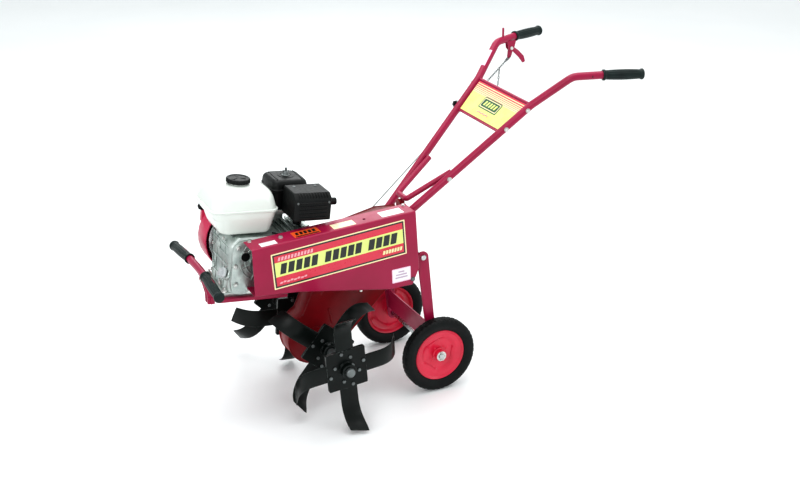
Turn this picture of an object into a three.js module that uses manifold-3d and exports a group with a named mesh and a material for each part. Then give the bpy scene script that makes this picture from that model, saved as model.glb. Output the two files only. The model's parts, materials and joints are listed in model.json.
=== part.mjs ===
// Front-tine tiller: slant-cylinder engine on a folded deck, belt drive under a side guard,
// two chain stages in a welded case, four tine sets, transport wheels and splayed handlebars.
// Millimetres. +X runs from the engine to the handlebars, -Y is the belt side, +Z is up, Z = 0 is the ground.
// Heights are drawn from a datum that lies DATUM above the ground.
import * as THREE from 'three';
import { mergeVertices } from 'three/addons/utils/BufferGeometryUtils.js';
import Module from 'manifold-3d';

const wasm = await Module();
wasm.setup();

// ---------------------------------------------------------------- driving dimensions
const GAP = 0.3; // clearance between touching pieces
const DATUM = 10.4; // height of the drawing's zero level above the ground
const PITCH = THREE.MathUtils.degToRad(6.5); // the engine and deck sit nose-up by this much

const TINE = { x: -280, z: 173.5 }; // tine shaft axis
const MID = { x: -138, z: 306 }; // intermediate shaft axis
const JACK = { x: -115, z: 442 }; // jackshaft axis
const CRANK = { x: -453, z: 466 }; // crankshaft axis
const IDLER = { x: -300, z: 436 }; // belt idler axis, clutch released
const CLUTCH_SHAFT = { x: -241.2, z: 401.3 }; // idler arm cross shaft
const WHEEL = { x: 50, y: 164, z: 101.6, radius: 112, bead: 79, width: 40 };
const LEG_PIVOT = { x: 12, z: 403 };
const LEG = { inner: 131, outer: 137, hub: 140 }; // strap faces and boss end, from the middle
const SHAFT_R = { tine: 12.7, chain: 10, crank: 14, wheel: 8, clutch: 6 };

const CASE = { half: 35, wall: 5, noseRadius: 84 };
const GUARD = { outer: -150, inner: -84, sheet: 2.5 };
const BELT = { y: -121, half: 6, thick: 4, smallPitch: 36, largePitch: 84 };
const STAGE_ONE_Y = -14;
const STAGE_TWO_Y = 14;
const CHAIN = { half: 3.5, thick: 4 };
const PINION_PITCH = 24;
const SPROCKET_PITCH = 62;

const TUBE_R = 11; // handlebar tube
const GRIP_R = 15.5;
const HANDLE_ROOT = [-62, 46.5, 447];
const HANDLE_FOOT = [-8, 47, 495];
const PANEL_LOW = [257, 125, 732];
const PANEL_TOP = [342, 149, 808];
const HANDLE_BEND = [436, 208, 893];
const GRIP_IN = [514, 237, 895.6];
const GRIP_END = [622, 271, 893.7];

const LEVER_PIVOT = [493, 222, 866];
const CHAIN_TOP = [489, 222, 836]; // where the clutch link hangs on the lever
const CABLE_END = [-213.6, 50.2, 362]; // where it pulls the idler arm
const CLUTCH_CHAIN_LENGTH = 105;

const LIFT_BAR = { half: 192, r: 10.5, gripIn: 63, gripOut: 196 };
const BLADE = { width: 52, thick: 6, root: 26, flat: 102, bendRadius: 68, bend: 60, tip: 31 };
const TINE_HUB = { radius: 21, half: 24, plate: 116, thick: 9 };
const DECK = { front: -112, shoulder: 86, rear: 184, half: 84, neck: 44, top: -106.3, sheet: 4, lip: 10 };

// ---------------------------------------------------------------- materials
function paint(color, roughness, metalness) {
  return new THREE.MeshStandardMaterial({ color, roughness, metalness });
}

const RED = paint(0xb01c3c, 0.35, 0.15);
const DEEP_RED = paint(0xc01226, 0.35, 0.1);
const BLACK_STEEL = paint(0x14201c, 0.4, 0.5);
const STEEL = paint(0x9a9da0, 0.35, 0.9);
const CAST = paint(0x9aa6a3, 0.5, 0.7);
const RUBBER = paint(0x10191a, 0.7, 0);
const BLACK = paint(0x111315, 0.45, 0.05);
const WHITE = paint(0xeceee8, 0.35, 0);

// ---------------------------------------------------------------- geometry helpers
const tiller = new THREE.Group();
const machine = new THREE.Group(); // everything, drawn from the datum
machine.position.z = DATUM;
tiller.add(machine);
const chassis = new THREE.Group(); // origin on the crankshaft axis, pitched nose-up
chassis.position.set(CRANK.x, 0, CRANK.z);
chassis.rotation.y = PITCH;
machine.add(chassis);

function node(name, material, geometry, parent = machine) {
  const mesh = new THREE.Mesh(geometry, material);
  mesh.name = name;
  parent.add(mesh);
  return mesh;
}

function toSolid(geometry) {
  const bare = geometry.clone();
  bare.deleteAttribute('normal');
  bare.deleteAttribute('uv');
  const merged = mergeVertices(bare, 1e-3);
  return new wasm.Manifold(new wasm.Mesh({
    numProp: 3,
    vertProperties: new Float32Array(merged.attributes.position.array),
    triVerts: new Uint32Array(merged.index.array),
  }));
}

function toGeometry(solid) {
  const mesh = solid.getMesh();
  const geometry = new THREE.BufferGeometry();
  geometry.setAttribute('position', new THREE.BufferAttribute(new Float32Array(mesh.vertProperties), 3));
  geometry.setIndex(new THREE.BufferAttribute(new Uint32Array(mesh.triVerts), 1));
  return geometry;
}

function join(...pieces) {
  return toGeometry(pieces.map(toSolid).reduce((sum, piece) => sum.add(piece)));
}

function cut(body, ...tools) {
  return toGeometry(tools.map(toSolid).reduce((rest, tool) => rest.subtract(tool), toSolid(body)));
}

// Box between two corners.
function box(x0, x1, y0, y1, z0, z1) {
  const geometry = new THREE.BoxGeometry(x1 - x0, y1 - y0, z1 - z0);
  return geometry.translate((x0 + x1) / 2, (y0 + y1) / 2, (z0 + z1) / 2);
}

// Cylinder whose axis lies along Y.
function rod(x, z, radius, y0, y1, sides = 20) {
  return new THREE.CylinderGeometry(radius, radius, y1 - y0, sides).translate(x, (y0 + y1) / 2, z);
}

// Cylinder standing along Z.
function post(x, y, radius, z0, z1, sides = 16) {
  const geometry = new THREE.CylinderGeometry(radius, radius, z1 - z0, sides);
  return geometry.rotateX(Math.PI / 2).translate(x, y, (z0 + z1) / 2);
}

// Flat piece: an outline in the XZ plane, extruded from y0 to y1.
function plate(outline, y0, y1) {
  const shape = new THREE.Shape(outline.map(([x, z]) => new THREE.Vector2(x, z)));
  const geometry = new THREE.ExtrudeGeometry(shape, { depth: y1 - y0, bevelEnabled: false, steps: 1 });
  return geometry.rotateX(Math.PI / 2).translate(0, y1, 0);
}

// Points on an arc in the XZ plane, angles in degrees from +X towards +Z.
function arc(x, z, radius, from, to, steps) {
  return Array.from({ length: steps + 1 }, (_, i) => {
    const a = THREE.MathUtils.degToRad(from + ((to - from) * i) / steps);
    return [x + radius * Math.cos(a), z + radius * Math.sin(a)];
  });
}

// Twice the area inside a closed outline, positive when it runs anticlockwise.
function area(outline) {
  return outline.reduce((sum, [x, z], i) => {
    const [nx, nz] = outline[(i + 1) % outline.length];
    return sum + x * nz - nx * z;
  }, 0);
}

// Outline moved inwards by a distance, corner by corner.
function inset(outline, distance) {
  const count = outline.length;
  const turn = Math.sign(area(outline));
  return outline.map(([x, z], i) => {
    const [px, pz] = outline[(i + count - 1) % count];
    const [nx, nz] = outline[(i + 1) % count];
    const before = new THREE.Vector2(x - px, z - pz).normalize();
    const after = new THREE.Vector2(nx - x, nz - z).normalize();
    const normal = new THREE.Vector2(-before.y - after.y, before.x + after.x).normalize();
    const miter = distance / Math.max(0.35, normal.dot(new THREE.Vector2(-before.y, before.x)));
    return [x + turn * normal.x * miter, z + turn * normal.y * miter];
  });
}

// Lathe about the Y axis through (x, z); the profile is [radius, y] pairs, in either order.
function turned(x, z, profile, sides = 32) {
  const points = profile.map(([r, y]) => new THREE.Vector2(r, y));
  if (area(profile) < 0) {
    points.reverse();
  }
  return new THREE.LatheGeometry(points, sides).translate(x, 0, z);
}

// Ring about the Y axis with a square section.
function ring(x, z, inner, outer, y0, y1, sides = 32) {
  return turned(x, z, [[inner, y0], [outer, y0], [outer, y1], [inner, y1], [inner, y0]], sides);
}

// A run of straight lines through its points, one extrusion step for each.
class Route extends THREE.Curve {
  constructor(points) {
    super();
    this.points = points.map((p) => new THREE.Vector3(...p));
  }

  getPoint(t, target = new THREE.Vector3()) {
    const last = this.points.length - 1;
    const place = Math.min(Math.max(t, 0), 1) * last;
    const i = Math.min(Math.floor(place), last - 1);
    return target.lerpVectors(this.points[i], this.points[i + 1], place - i);
  }

  getUtoTmapping(u) {
    return u;
  }
}

// Points of a bent centre line: each inner corner is rounded to the given radius.
function bent(points, radius, steps = 5) {
  const corners = points.map((p) => new THREE.Vector3(...p));
  const line = [points[0]];
  for (let i = 1; i < corners.length - 1; i += 1) {
    const back = corners[i - 1].clone().sub(corners[i]).normalize();
    const ahead = corners[i + 1].clone().sub(corners[i]).normalize();
    const reach = radius / Math.tan(back.angleTo(ahead) / 2);
    const start = corners[i].clone().addScaledVector(back, reach);
    const end = corners[i].clone().addScaledVector(ahead, reach);
    const curve = new THREE.QuadraticBezierCurve3(start, corners[i], end);
    line.push(...curve.getPoints(steps).map((p) => p.toArray()));
  }
  line.push(points[points.length - 1]);
  return line;
}

// Round bar along a centre line.
function tube(points, radius, sides = 12) {
  const circle = arc(0, 0, radius, 0, 360, sides).slice(0, -1);
  const section = new THREE.Shape(circle.map((p) => new THREE.Vector2(...p)));
  const options = { steps: points.length - 1, extrudePath: new Route(points), bevelEnabled: false };
  return new THREE.ExtrudeGeometry(section, options);
}

// Closed skin through stacked rounded rectangles: [z, x0, x1, y0, y1, corner radius].
function stacked(levels, perCorner = 3) {
  const rings = levels.map(([z, x0, x1, y0, y1, r]) => {
    const corners = [[x1 - r, y1 - r, 0], [x0 + r, y1 - r, 90], [x0 + r, y0 + r, 180], [x1 - r, y0 + r, 270]];
    const outline = corners.flatMap(([cx, cy, a]) => arc(cx, cy, r, a, a + 90, perCorner));
    return outline.map(([x, y]) => [x, y, z]);
  });
  const count = rings[0].length;
  const middle = ([z, x0, x1, y0, y1]) => [(x0 + x1) / 2, (y0 + y1) / 2, z];
  const points = [...rings.flat(), middle(levels[0]), middle(levels[levels.length - 1])];
  const bottom = rings.length * count;
  const faces = [];
  for (let i = 0; i < count; i += 1) {
    const j = (i + 1) % count;
    for (let k = 0; k < rings.length - 1; k += 1) {
      const [a, b, c, d] = [k * count + i, k * count + j, (k + 1) * count + j, (k + 1) * count + i];
      faces.push(a, b, c, a, c, d);
    }
    const top = (rings.length - 1) * count;
    faces.push(bottom, j, i, bottom + 1, top + i, top + j);
  }
  const geometry = new THREE.BufferGeometry();
  geometry.setAttribute('position', new THREE.BufferAttribute(new Float32Array(points.flat()), 3));
  geometry.setIndex(faces);
  return geometry;
}

// Outline of a loop around two circles: [x, z, radius] each, outer tangents and arcs.
function loop(a, b, grow, steps = 10) {
  const [ax, az, ar] = a;
  const [bx, bz, br] = b;
  const span = Math.hypot(bx - ax, bz - az);
  const heading = THREE.MathUtils.radToDeg(Math.atan2(bz - az, bx - ax));
  const lean = THREE.MathUtils.radToDeg(Math.acos((ar - br) / span));
  return [
    ...arc(ax, az, ar + grow, heading + lean, heading + 360 - lean, steps),
    ...arc(bx, bz, br + grow, heading - lean, heading + lean, steps),
  ];
}

// Flat band that runs around two wheels.
function band(a, b, thick, y, half) {
  const outside = plate(loop(a, b, thick), y - half, y + half);
  return cut(outside, plate(loop(a, b, -thick), y - half - 1, y + half + 1));
}

const mirrored = ([x, y, z]) => [x, -y, z];
const SIDES = [['left', -1], ['right', 1]];

// ---------------------------------------------------------------- chain case: the backbone
const caseOutline = [
  [26, 372], [26, 470], [4, 505], [-60, 510], [-160, 490], [-205, 400], [-276, 337],
  ...arc(TINE.x, TINE.z, CASE.noseRadius, 116, 314, 11),
  [-52, 280], [-14, 330],
];
const caseInside = inset(caseOutline, CASE.wall);
const shaftHoles = [[TINE, 13], [MID, 10.3], [JACK, 18.8], [LEG_PIVOT, 8.3]];
const throughHoles = (y0, y1) => shaftHoles.map(([at, r]) => rod(at.x, at.z, r, y0, y1, 16));

node('chain_case', RED, cut(
  join(
    cut(plate(caseOutline, -CASE.half, CASE.half - 4), plate(caseInside, CASE.wall - CASE.half, CASE.half)),
    rod(TINE.x, TINE.z, 30, -CASE.half - 9, -CASE.half + 3),
    rod(MID.x, MID.z, 22, -CASE.half - 5, -CASE.half + 8),
    box(0, 16, -12, 12, 500, 529),
  ),
  ...throughHoles(-60, 0),
));
node('chain_case_cover', RED, cut(
  join(
    plate(caseOutline, CASE.half - 4 + GAP, CASE.half),
    rod(TINE.x, TINE.z, 30, CASE.half - 2, CASE.half + 9),
    rod(MID.x, MID.z, 22, CASE.half - 8, CASE.half + 5),
  ),
  ...throughHoles(0, 60),
));

// Two chain stages and their shafts.
const jackPinion = [JACK.x, JACK.z, PINION_PITCH];
const midSprocket = [MID.x, MID.z, SPROCKET_PITCH];
const midPinion = [MID.x, MID.z, PINION_PITCH];
const tineSprocket = [TINE.x, TINE.z, SPROCKET_PITCH];
node('input_chain', STEEL, band(jackPinion, midSprocket, CHAIN.thick, STAGE_ONE_Y, CHAIN.half));
node('output_chain', STEEL, band(midPinion, tineSprocket, CHAIN.thick, STAGE_TWO_Y, CHAIN.half));

const toothRoot = (pitch) => pitch - CHAIN.thick - 1.5;
const wheelOf = ([x, z, pitch], y) => rod(x, z, toothRoot(pitch), y - CHAIN.half, y + CHAIN.half, 24);
node('jackshaft', STEEL, join(
  rod(JACK.x, JACK.z, SHAFT_R.chain, -140, 44),
  wheelOf(jackPinion, STAGE_ONE_Y),
));
node('intermediate_shaft', STEEL, join(
  rod(MID.x, MID.z, SHAFT_R.chain, -38, 38),
  wheelOf(midSprocket, STAGE_ONE_Y),
  wheelOf(midPinion, STAGE_TWO_Y),
));
node('tine_shaft', STEEL, join(
  rod(TINE.x, TINE.z, SHAFT_R.tine, -283, 283),
  wheelOf(tineSprocket, STAGE_TWO_Y),
));
for (const [side, sign] of SIDES) {
  const [y0, y1] = sign < 0 ? [-40, -26] : [26, 40];
  node(`jackshaft_bearing_${side}`, STEEL, ring(JACK.x, JACK.z, SHAFT_R.chain + GAP, 18, y0, y1, 24));
}

// ---------------------------------------------------------------- tine sets
// A blade's centre line in (radius, sideways) coordinates, with its two faces.
function bladeOutline(side) {
  const knuckle = side * BLADE.bendRadius;
  const curve = arc(BLADE.flat, knuckle, BLADE.bendRadius, -90 * side, (BLADE.bend - 90) * side, 4);
  const line = [[BLADE.root, 0], ...curve];
  const [r, y] = line[line.length - 1];
  const lean = THREE.MathUtils.degToRad(BLADE.bend);
  line.push([r + BLADE.tip * Math.cos(lean), y + side * BLADE.tip * Math.sin(lean)]);
  const face = (offset) => line.map(([pr, py], i) => {
    const [ar, ay] = line[Math.max(i - 1, 0)];
    const [br, by] = line[Math.min(i + 1, line.length - 1)];
    const along = new THREE.Vector2(br - ar, by - ay).normalize();
    return [pr - along.y * offset, py + along.x * offset];
  });
  return [...face(-BLADE.thick / 2), ...face(BLADE.thick / 2).reverse()];
}

function blade(side, angle) {
  const shape = new THREE.Shape(bladeOutline(side).map((p) => new THREE.Vector2(...p)));
  const geometry = new THREE.ExtrudeGeometry(shape, { depth: BLADE.width, bevelEnabled: false, steps: 1 });
  return geometry.translate(0, 0, -BLADE.width / 2).rotateY(-THREE.MathUtils.degToRad(angle));
}

function tineSet(y, firstAngle, bends) {
  const set = join(
    rod(0, 0, TINE_HUB.radius, -TINE_HUB.half, TINE_HUB.half, 16),
    new THREE.BoxGeometry(TINE_HUB.plate, TINE_HUB.thick, TINE_HUB.plate)
      .rotateY(-THREE.MathUtils.degToRad(firstAngle)),
    ...bends.map((side, i) => blade(side, firstAngle + 90 * i)),
  );
  return cut(set, rod(0, 0, SHAFT_R.tine + GAP, -40, 40)).translate(TINE.x, y, TINE.z);
}

node('tine_set_left_outer', BLACK_STEEL, tineSet(-249, 5, [1, -1, -1, -1]));
node('tine_set_left_inner', BLACK_STEEL, tineSet(-122, 50, [-1, 1, -1, 1]));
node('tine_set_right_inner', BLACK_STEEL, tineSet(122, 85, [-1, 1, 1, -1]));
node('tine_set_right_outer', BLACK_STEEL, tineSet(249, 45, [1, -1, 1, -1]));

// ---------------------------------------------------------------- deck and front lift handle
const lipPair = (x0, x1, half) => [-half, half - DECK.sheet].map(
  (y) => box(x0, x1, y, y + DECK.sheet, DECK.top - DECK.lip, DECK.top - 1),
);
node('engine_deck', RED, join(
  box(DECK.front, DECK.shoulder, -DECK.half, DECK.half, DECK.top - DECK.sheet, DECK.top),
  box(DECK.shoulder - 1, DECK.rear, -DECK.neck, DECK.neck, DECK.top - DECK.sheet, DECK.top),
  ...lipPair(DECK.front, DECK.shoulder, DECK.half),
  ...lipPair(DECK.shoulder - 1, DECK.rear, DECK.neck),
  box(DECK.front, DECK.front + DECK.sheet, -DECK.half, DECK.half, DECK.top - DECK.lip, DECK.top - 1),
), chassis);

const barLine = (half) => bent(
  [[-610, -half, 431], [-605, -120, 440], [-604, 0, 441], [-605, 120, 440], [-610, half, 431]], 120, 2,
);
const strut = (y) => plate(
  [[-600, 352], [-581, 352], [-581, 376], [-594, 441], [-614, 441], [-600, 380]], y - 3, y + 3,
);
node('lift_handle', RED, join(
  tube(barLine(LIFT_BAR.half), LIFT_BAR.r),
  strut(-54),
  strut(-38),
  box(-592, -580.4, -60, -32, 352, 372),
));
for (const [side, sign] of SIDES) {
  const inner = [-604.6, sign * LIFT_BAR.gripIn, 440.6];
  const middle = [-606.5, sign * 130, 438];
  const outer = [-610.4, sign * LIFT_BAR.gripOut, 430.4];
  const bore = tube(barLine(LIFT_BAR.half + 0.6), LIFT_BAR.r + 0.6);
  node(`lift_grip_${side}`, RUBBER, cut(tube([inner, middle, outer], GRIP_R - 1, 16), bore));
}

// ---------------------------------------------------------------- belt drive and guard
const guardOutline = [[-500, 528], [-497, 392], [-369, 380], [-99, 331], [-26, 331], [-5, 379], [-17, 554]];
const guardInside = inset(guardOutline, GUARD.sheet);
const openFront = guardInside.map(([x, z]) => [x < -480 ? x - 20 : x, z]);
node('belt_guard', RED, cut(
  plate(guardOutline, GUARD.outer, GUARD.inner),
  plate(openFront, GUARD.outer + GUARD.sheet, GUARD.inner + 10),
  post(-163, -121, 4.5, 520, 570, 12),
));
node('guard_backplate', RED, cut(
  plate(
    [[-340, 374], [-99, 331], [-26, 331], [-5, 379], [-16, 552], [-330, 535]],
    GUARD.inner + GAP,
    GUARD.inner + 3,
  ),
  rod(JACK.x, JACK.z, 24, -95, -70),
  rod(CLUTCH_SHAFT.x, CLUTCH_SHAFT.z, SHAFT_R.clutch + GAP, -95, -70),
  rod(LEG_PIVOT.x, LEG_PIVOT.z, SHAFT_R.wheel + 1, -95, -70),
));

const smallWheel = [CRANK.x, CRANK.z, BELT.smallPitch];
const largeWheel = [JACK.x, JACK.z, BELT.largePitch];
node('drive_belt', RUBBER, band(smallWheel, largeWheel, BELT.thick, BELT.y, BELT.half));

// Pulley with a square groove that holds the belt clear of its walls.
function pulley(at, pitch, bore, hub) {
  const floor = pitch - BELT.thick - 2;
  const rim = pitch + BELT.thick + 1;
  const groove = BELT.half + 0.6;
  const wall = groove + 3;
  const profile = [
    [bore, -wall], [rim, -wall], [rim, -groove], [floor, -groove], [floor, groove], [rim, groove],
    [rim, wall], [hub, wall], [hub, wall + 8], [bore, wall + 8], [bore, -wall],
  ].map(([r, y]) => [r, y + BELT.y]);
  return turned(at.x, at.z, profile, 28);
}
node('engine_pulley', CAST, pulley(CRANK, BELT.smallPitch, SHAFT_R.crank + GAP, 20));
node('driven_pulley', CAST, pulley(JACK, BELT.largePitch, SHAFT_R.chain + GAP, 18));

const idlerStrap = [
  ...arc(CLUTCH_SHAFT.x, CLUTCH_SHAFT.z, 13, -153, 27, 8),
  ...arc(IDLER.x, IDLER.z, 11, 27, 207, 8),
];
const cableStrap = [
  ...arc(CLUTCH_SHAFT.x, CLUTCH_SHAFT.z, 11, 35, 215, 8),
  ...arc(CABLE_END[0], CABLE_END[2], 7, 215, 395, 8),
];
node('idler_arm', STEEL, join(
  plate(idlerStrap, -101, -96),
  rod(CLUTCH_SHAFT.x, CLUTCH_SHAFT.z, SHAFT_R.clutch, -100, 53),
  plate(cableStrap, 45, 49),
  rod(IDLER.x, IDLER.z, 5, -132, -98, 16),
));
const idlerProfile = [
  [5 + GAP, -129], [22, -129], [22, -127], [20, -127], [20, -115], [22, -115], [22, -113],
  [5 + GAP, -113], [5 + GAP, -129],
];
node('idler_pulley', STEEL, turned(IDLER.x, IDLER.z, idlerProfile, 20));

// ---------------------------------------------------------------- transport wheels
node('leg_pivot_bar', STEEL, rod(LEG_PIVOT.x, LEG_PIVOT.z, SHAFT_R.wheel, -142, 142, 20));
const legOutline = [
  ...arc(LEG_PIVOT.x, LEG_PIVOT.z, 17.3, -6, 186, 10),
  [18.5, 213],
  ...arc(WHEEL.x, WHEEL.z, 17, 190, 356, 8),
  [48.5, 213],
];
for (const [side, sign] of SIDES) {
  const [y0, y1] = sign < 0 ? [-LEG.outer, -LEG.inner] : [LEG.inner, LEG.outer];
  const [boss0, boss1] = sign < 0 ? [-LEG.hub, y1] : [y0, LEG.hub];
  node(`wheel_leg_${side}`, RED, cut(
    join(plate(legOutline, y0, y1), rod(WHEEL.x, WHEEL.z, 13, boss0, boss1)),
    rod(LEG_PIVOT.x, LEG_PIVOT.z, SHAFT_R.wheel + GAP, y0 - 5, y1 + 5),
    rod(WHEEL.x, WHEEL.z, SHAFT_R.wheel + GAP, y0 - 5, y1 + 5),
  ));
  const middle = sign * WHEEL.y;
  const half = WHEEL.width / 2;
  const { bead, radius } = WHEEL;
  const tyre = [
    [bead, -13], [bead + 14, -half], [radius - 6, 3 - half], [radius, -11], [radius, 11],
    [radius - 6, half - 3], [bead + 14, half], [bead, 13], [bead, -13],
  ];
  node(`tyre_${side}`, RUBBER, turned(WHEEL.x, WHEEL.z, tyre.map(([r, y]) => [r, y + middle]), 32));
  const bore = SHAFT_R.wheel + GAP;
  const edge = bead - 0.5;
  const rim = [
    [bore, -19], [17, -19], [17, -6], [edge - 13, -3], [edge - 6, -12.5], [edge, -12.5], [edge, 12.5],
    [edge - 6, 12.5], [edge - 13, 1], [17, 0], [17, 19], [bore, 19], [bore, -19],
  ];
  node(`rim_${side}`, DEEP_RED, turned(WHEEL.x, WHEEL.z, rim.map(([r, y]) => [r, -sign * y + middle]), 24));
}
const crossOutline = [[24, 196], [29, 196], [39, 124], [34, 124]];
node('leg_cross_plate', RED, plate(crossOutline, GAP - LEG.inner, LEG.inner - GAP));
node('wheel_axle', STEEL, rod(WHEEL.x, WHEEL.z, SHAFT_R.wheel, -190, 190, 20));

// ---------------------------------------------------------------- handlebars
const handleLine = bent([HANDLE_ROOT, HANDLE_FOOT, PANEL_TOP, HANDLE_BEND, GRIP_IN, GRIP_END], 26, 3);
const handleTube = (sign) => tube(sign > 0 ? handleLine : handleLine.map(mirrored), TUBE_R, 10);
const leverEars = [214, 227].map((y) => plate(
  [[478, 889], [482, 864], ...arc(LEVER_PIVOT[0], LEVER_PIVOT[2], 9, 200, 340, 5), [508, 889]], y, y + 3,
));
node('handlebar_left', RED, handleTube(-1));
node('handlebar_right', RED, cut(
  join(handleTube(1), ...leverEars, post(462, 215.5, 3.2, 895, 933, 10)),
  rod(LEVER_PIVOT[0], LEVER_PIVOT[2], 3.5, 205, 240, 14),
));
const gripAxis = new THREE.Vector3(...GRIP_END).sub(new THREE.Vector3(...GRIP_IN)).normalize();
const along = (from, distance) => new THREE.Vector3(...from).addScaledVector(gripAxis, distance).toArray();
for (const [side, sign] of SIDES) {
  const flip = (p) => (sign > 0 ? p : mirrored(p));
  const outerLine = [GRIP_IN, along(GRIP_IN, 12), along(GRIP_END, -12), along(GRIP_END, 6)];
  const outer = tube(outerLine.map(flip), GRIP_R, 16);
  const bore = tube([along(GRIP_IN, -8), along(GRIP_END, 1)].map(flip), TUBE_R + 0.5, 16);
  node(`grip_${side}`, RUBBER, cut(outer, bore));
}

// Half width of the panel where the tubes' centre lines are y from the middle.
const TUBE_SPLAY = 0.28;
const panelHalf = (y) => y - TUBE_R / Math.cos(TUBE_SPLAY) - 2 * GAP;

// Sloping sheet between two (x, z) points, with its half width at each.
function ribbon(low, high, half0, half1, thick) {
  const length = Math.hypot(high[0] - low[0], high[1] - low[1]);
  const corners = [[-half0, 0], [half0, 0], [half1, length], [-half1, length]];
  const shape = new THREE.Shape(corners.map((p) => new THREE.Vector2(...p)));
  const geometry = new THREE.ExtrudeGeometry(shape, { depth: thick, bevelEnabled: false, steps: 1 });
  const slope = Math.atan2(high[1] - low[1], high[0] - low[0]);
  geometry.translate(0, 0, -thick / 2).rotateX(slope).rotateZ(-Math.PI / 2);
  return geometry.translate(low[0], 0, low[1]);
}
const [lowX, lowY, lowZ] = PANEL_LOW;
const [topX, topY, topZ] = PANEL_TOP;
const hem = panelHalf(topY) - 3;
node('handlebar_panel', RED, join(
  ribbon([lowX, lowZ], [topX, topZ], panelHalf(lowY), panelHalf(topY), 3),
  tube([[topX, -hem, topZ], [topX, hem, topZ]], 5, 10),
));
const braceLine = bent([[136, 67, 618], [14, 26, 541], [14, -26, 541], [136, -67, 618]], 8, 3);
node('handlebar_brace', RED, tube(braceLine, 8, 12));

// ---------------------------------------------------------------- clutch lever and its pull
node('clutch_lever', RED, join(
  plate([
    ...arc(LEVER_PIVOT[0], LEVER_PIVOT[2], 8, 60, 150, 4), [484, 838], [488, 832], [495, 838], [500, 855],
    [524, 832], [538, 814], [546, 818], [540, 836], [520, 856],
  ], 219, 225),
  rod(LEVER_PIVOT[0], LEVER_PIVOT[2], 3.2, 212, 232, 14),
));
const cableTop = new THREE.Vector3(...CHAIN_TOP);
const cableWay = new THREE.Vector3(...CABLE_END).sub(cableTop);
const cableLength = cableWay.length();
cableWay.normalize();
const onCable = (distance) => cableTop.clone().addScaledVector(cableWay, distance).toArray();
node('clutch_chain', STEEL, tube([onCable(6), onCable(CLUTCH_CHAIN_LENGTH)], 3.2, 8));
node('clutch_cable', STEEL, tube([onCable(CLUTCH_CHAIN_LENGTH + GAP), onCable(cableLength - 10)], 1.6, 8));

// ---------------------------------------------------------------- engine, in chassis coordinates
const LEAN = THREE.MathUtils.degToRad(15); // the cylinder's tilt above level
const cylinderAxis = [Math.cos(LEAN), Math.sin(LEAN)];
const onCylinder = (distance, length, width, height) => new THREE.BoxGeometry(length, width, height)
  .rotateY(-LEAN)
  .translate(distance * cylinderAxis[0], 0, distance * cylinderAxis[1]);
node('engine_block', CAST, cut(
  join(
    stacked([
      [-106, -95, 85, -71, 78, 6], [-94, -95, 85, -71, 78, 6], [-93, -84, 74, -71, 72, 14],
      [36, -84, 74, -71, 72, 14], [58, -64, 60, -60, 60, 14],
    ]),
    onCylinder(100, 110, 74, 62),
    ...[86, 101, 116, 131, 146].map((distance) => onCylinder(distance, 4, 100, 78)),
    onCylinder(158, 18, 84, 66),
    box(62, 108, 44, 70, 38, 102),
    box(60, 112, 2, 62, 96, 107),
  ),
  rod(0, 0, SHAFT_R.crank + GAP, -90, 90, 24),
), chassis);
const coverOutline = [
  ...arc(40, 22, 34, 0, 90, 4),
  ...arc(-46, 22, 34, 90, 180, 4),
  ...arc(-56, -72, 24, 180, 270, 3),
  ...arc(50, -72, 24, 270, 360, 3),
];
node('crankcase_cover', CAST, cut(
  join(
    plate(coverOutline, -83, -71.3),
    rod(0, 0, 30, -91, -80, 24),
    rod(-46, 14, 14, -88, -80, 14),
  ),
  rod(0, 0, SHAFT_R.crank + GAP, -100, -60, 24),
), chassis);
const flywheel = [
  [13, 84], [60, 84], [64, 88], [88, 88], [88, 112], [80, 112], [76, 100], [13, 100], [13, 84],
];
node('crankshaft', STEEL, join(
  rod(0, 0, SHAFT_R.crank, -140, 100, 24),
  turned(0, 0, flywheel, 24),
), chassis);
const shroudOutline = [...arc(0, 0, 100, 50, 310, 20), [88, -78], [100, -40], [104, 60], [84, 78]];
node('fan_shroud', DEEP_RED, join(
  cut(plate(shroudOutline, 82, 146), plate(inset(shroudOutline, 3), 70, 143)),
  rod(0, 0, 74, 144, 164, 32),
  box(-92, -66, 144, 158, 34, 66),
), chassis);
node('starter_handle', BLACK, stacked([
  [67, -98, -58, 148, 162, 6], [76, -102, -54, 147, 163, 7], [84, -98, -58, 148, 162, 6],
]), chassis);
node('engine_switch', BLACK, join(
  rod(85, -50, 12, 146.3, 152, 16),
  box(82.5, 87.5, 151, 160, -61, -39),
), chassis);
node('throttle_lever', STEEL, join(
  rod(86, 40, 8, 146.3, 149, 14),
  box(82, 90, 146.3, 149, 40, 96),
  rod(86, 92, 6, 146.3, 158, 12),
), chassis);
const CHOKE = { x0: 112.4, x1: 114, y: 60, z: 62 };
node('choke_lever', BLACK, join(
  box(CHOKE.x0, CHOKE.x1, CHOKE.y - 4, CHOKE.y + 4, CHOKE.z, CHOKE.z + 30),
  new THREE.CylinderGeometry(6, 6, CHOKE.x1 - CHOKE.x0, 14)
    .rotateZ(Math.PI / 2)
    .translate((CHOKE.x0 + CHOKE.x1) / 2, CHOKE.y, CHOKE.z),
), chassis);

const TANK_SEAM = 131;
const TANK_TOP = 189;
node('fuel_tank', WHITE, stacked([
  [63, -92, 26, -44, 54, 16],
  [67, -104, 38, -54, 64, 20],
  [104, -120, 47, -58, 70, 22],
  [108, -122, 48, -60, 98, 24],
  [TANK_SEAM - 5, -132, 50, -61, 102, 24],
  [TANK_SEAM - 3, -138, 56, -65, 106, 24],
  [TANK_SEAM + 3, -138, 56, -65, 106, 24],
  [TANK_SEAM + 5, -132, 50, -61, 102, 24],
  [168, -124, 44, -55, 96, 26],
  [181, -114, 36, -47, 88, 24],
  [TANK_TOP, -96, 20, -32, 74, 20],
], 4), chassis);
node('fuel_cap', BLACK, join(
  post(-42, 12, 20, TANK_TOP + GAP, TANK_TOP + 3, 20),
  post(-42, 12, 33, TANK_TOP + 2, TANK_TOP + 16, 28),
), chassis);

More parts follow.
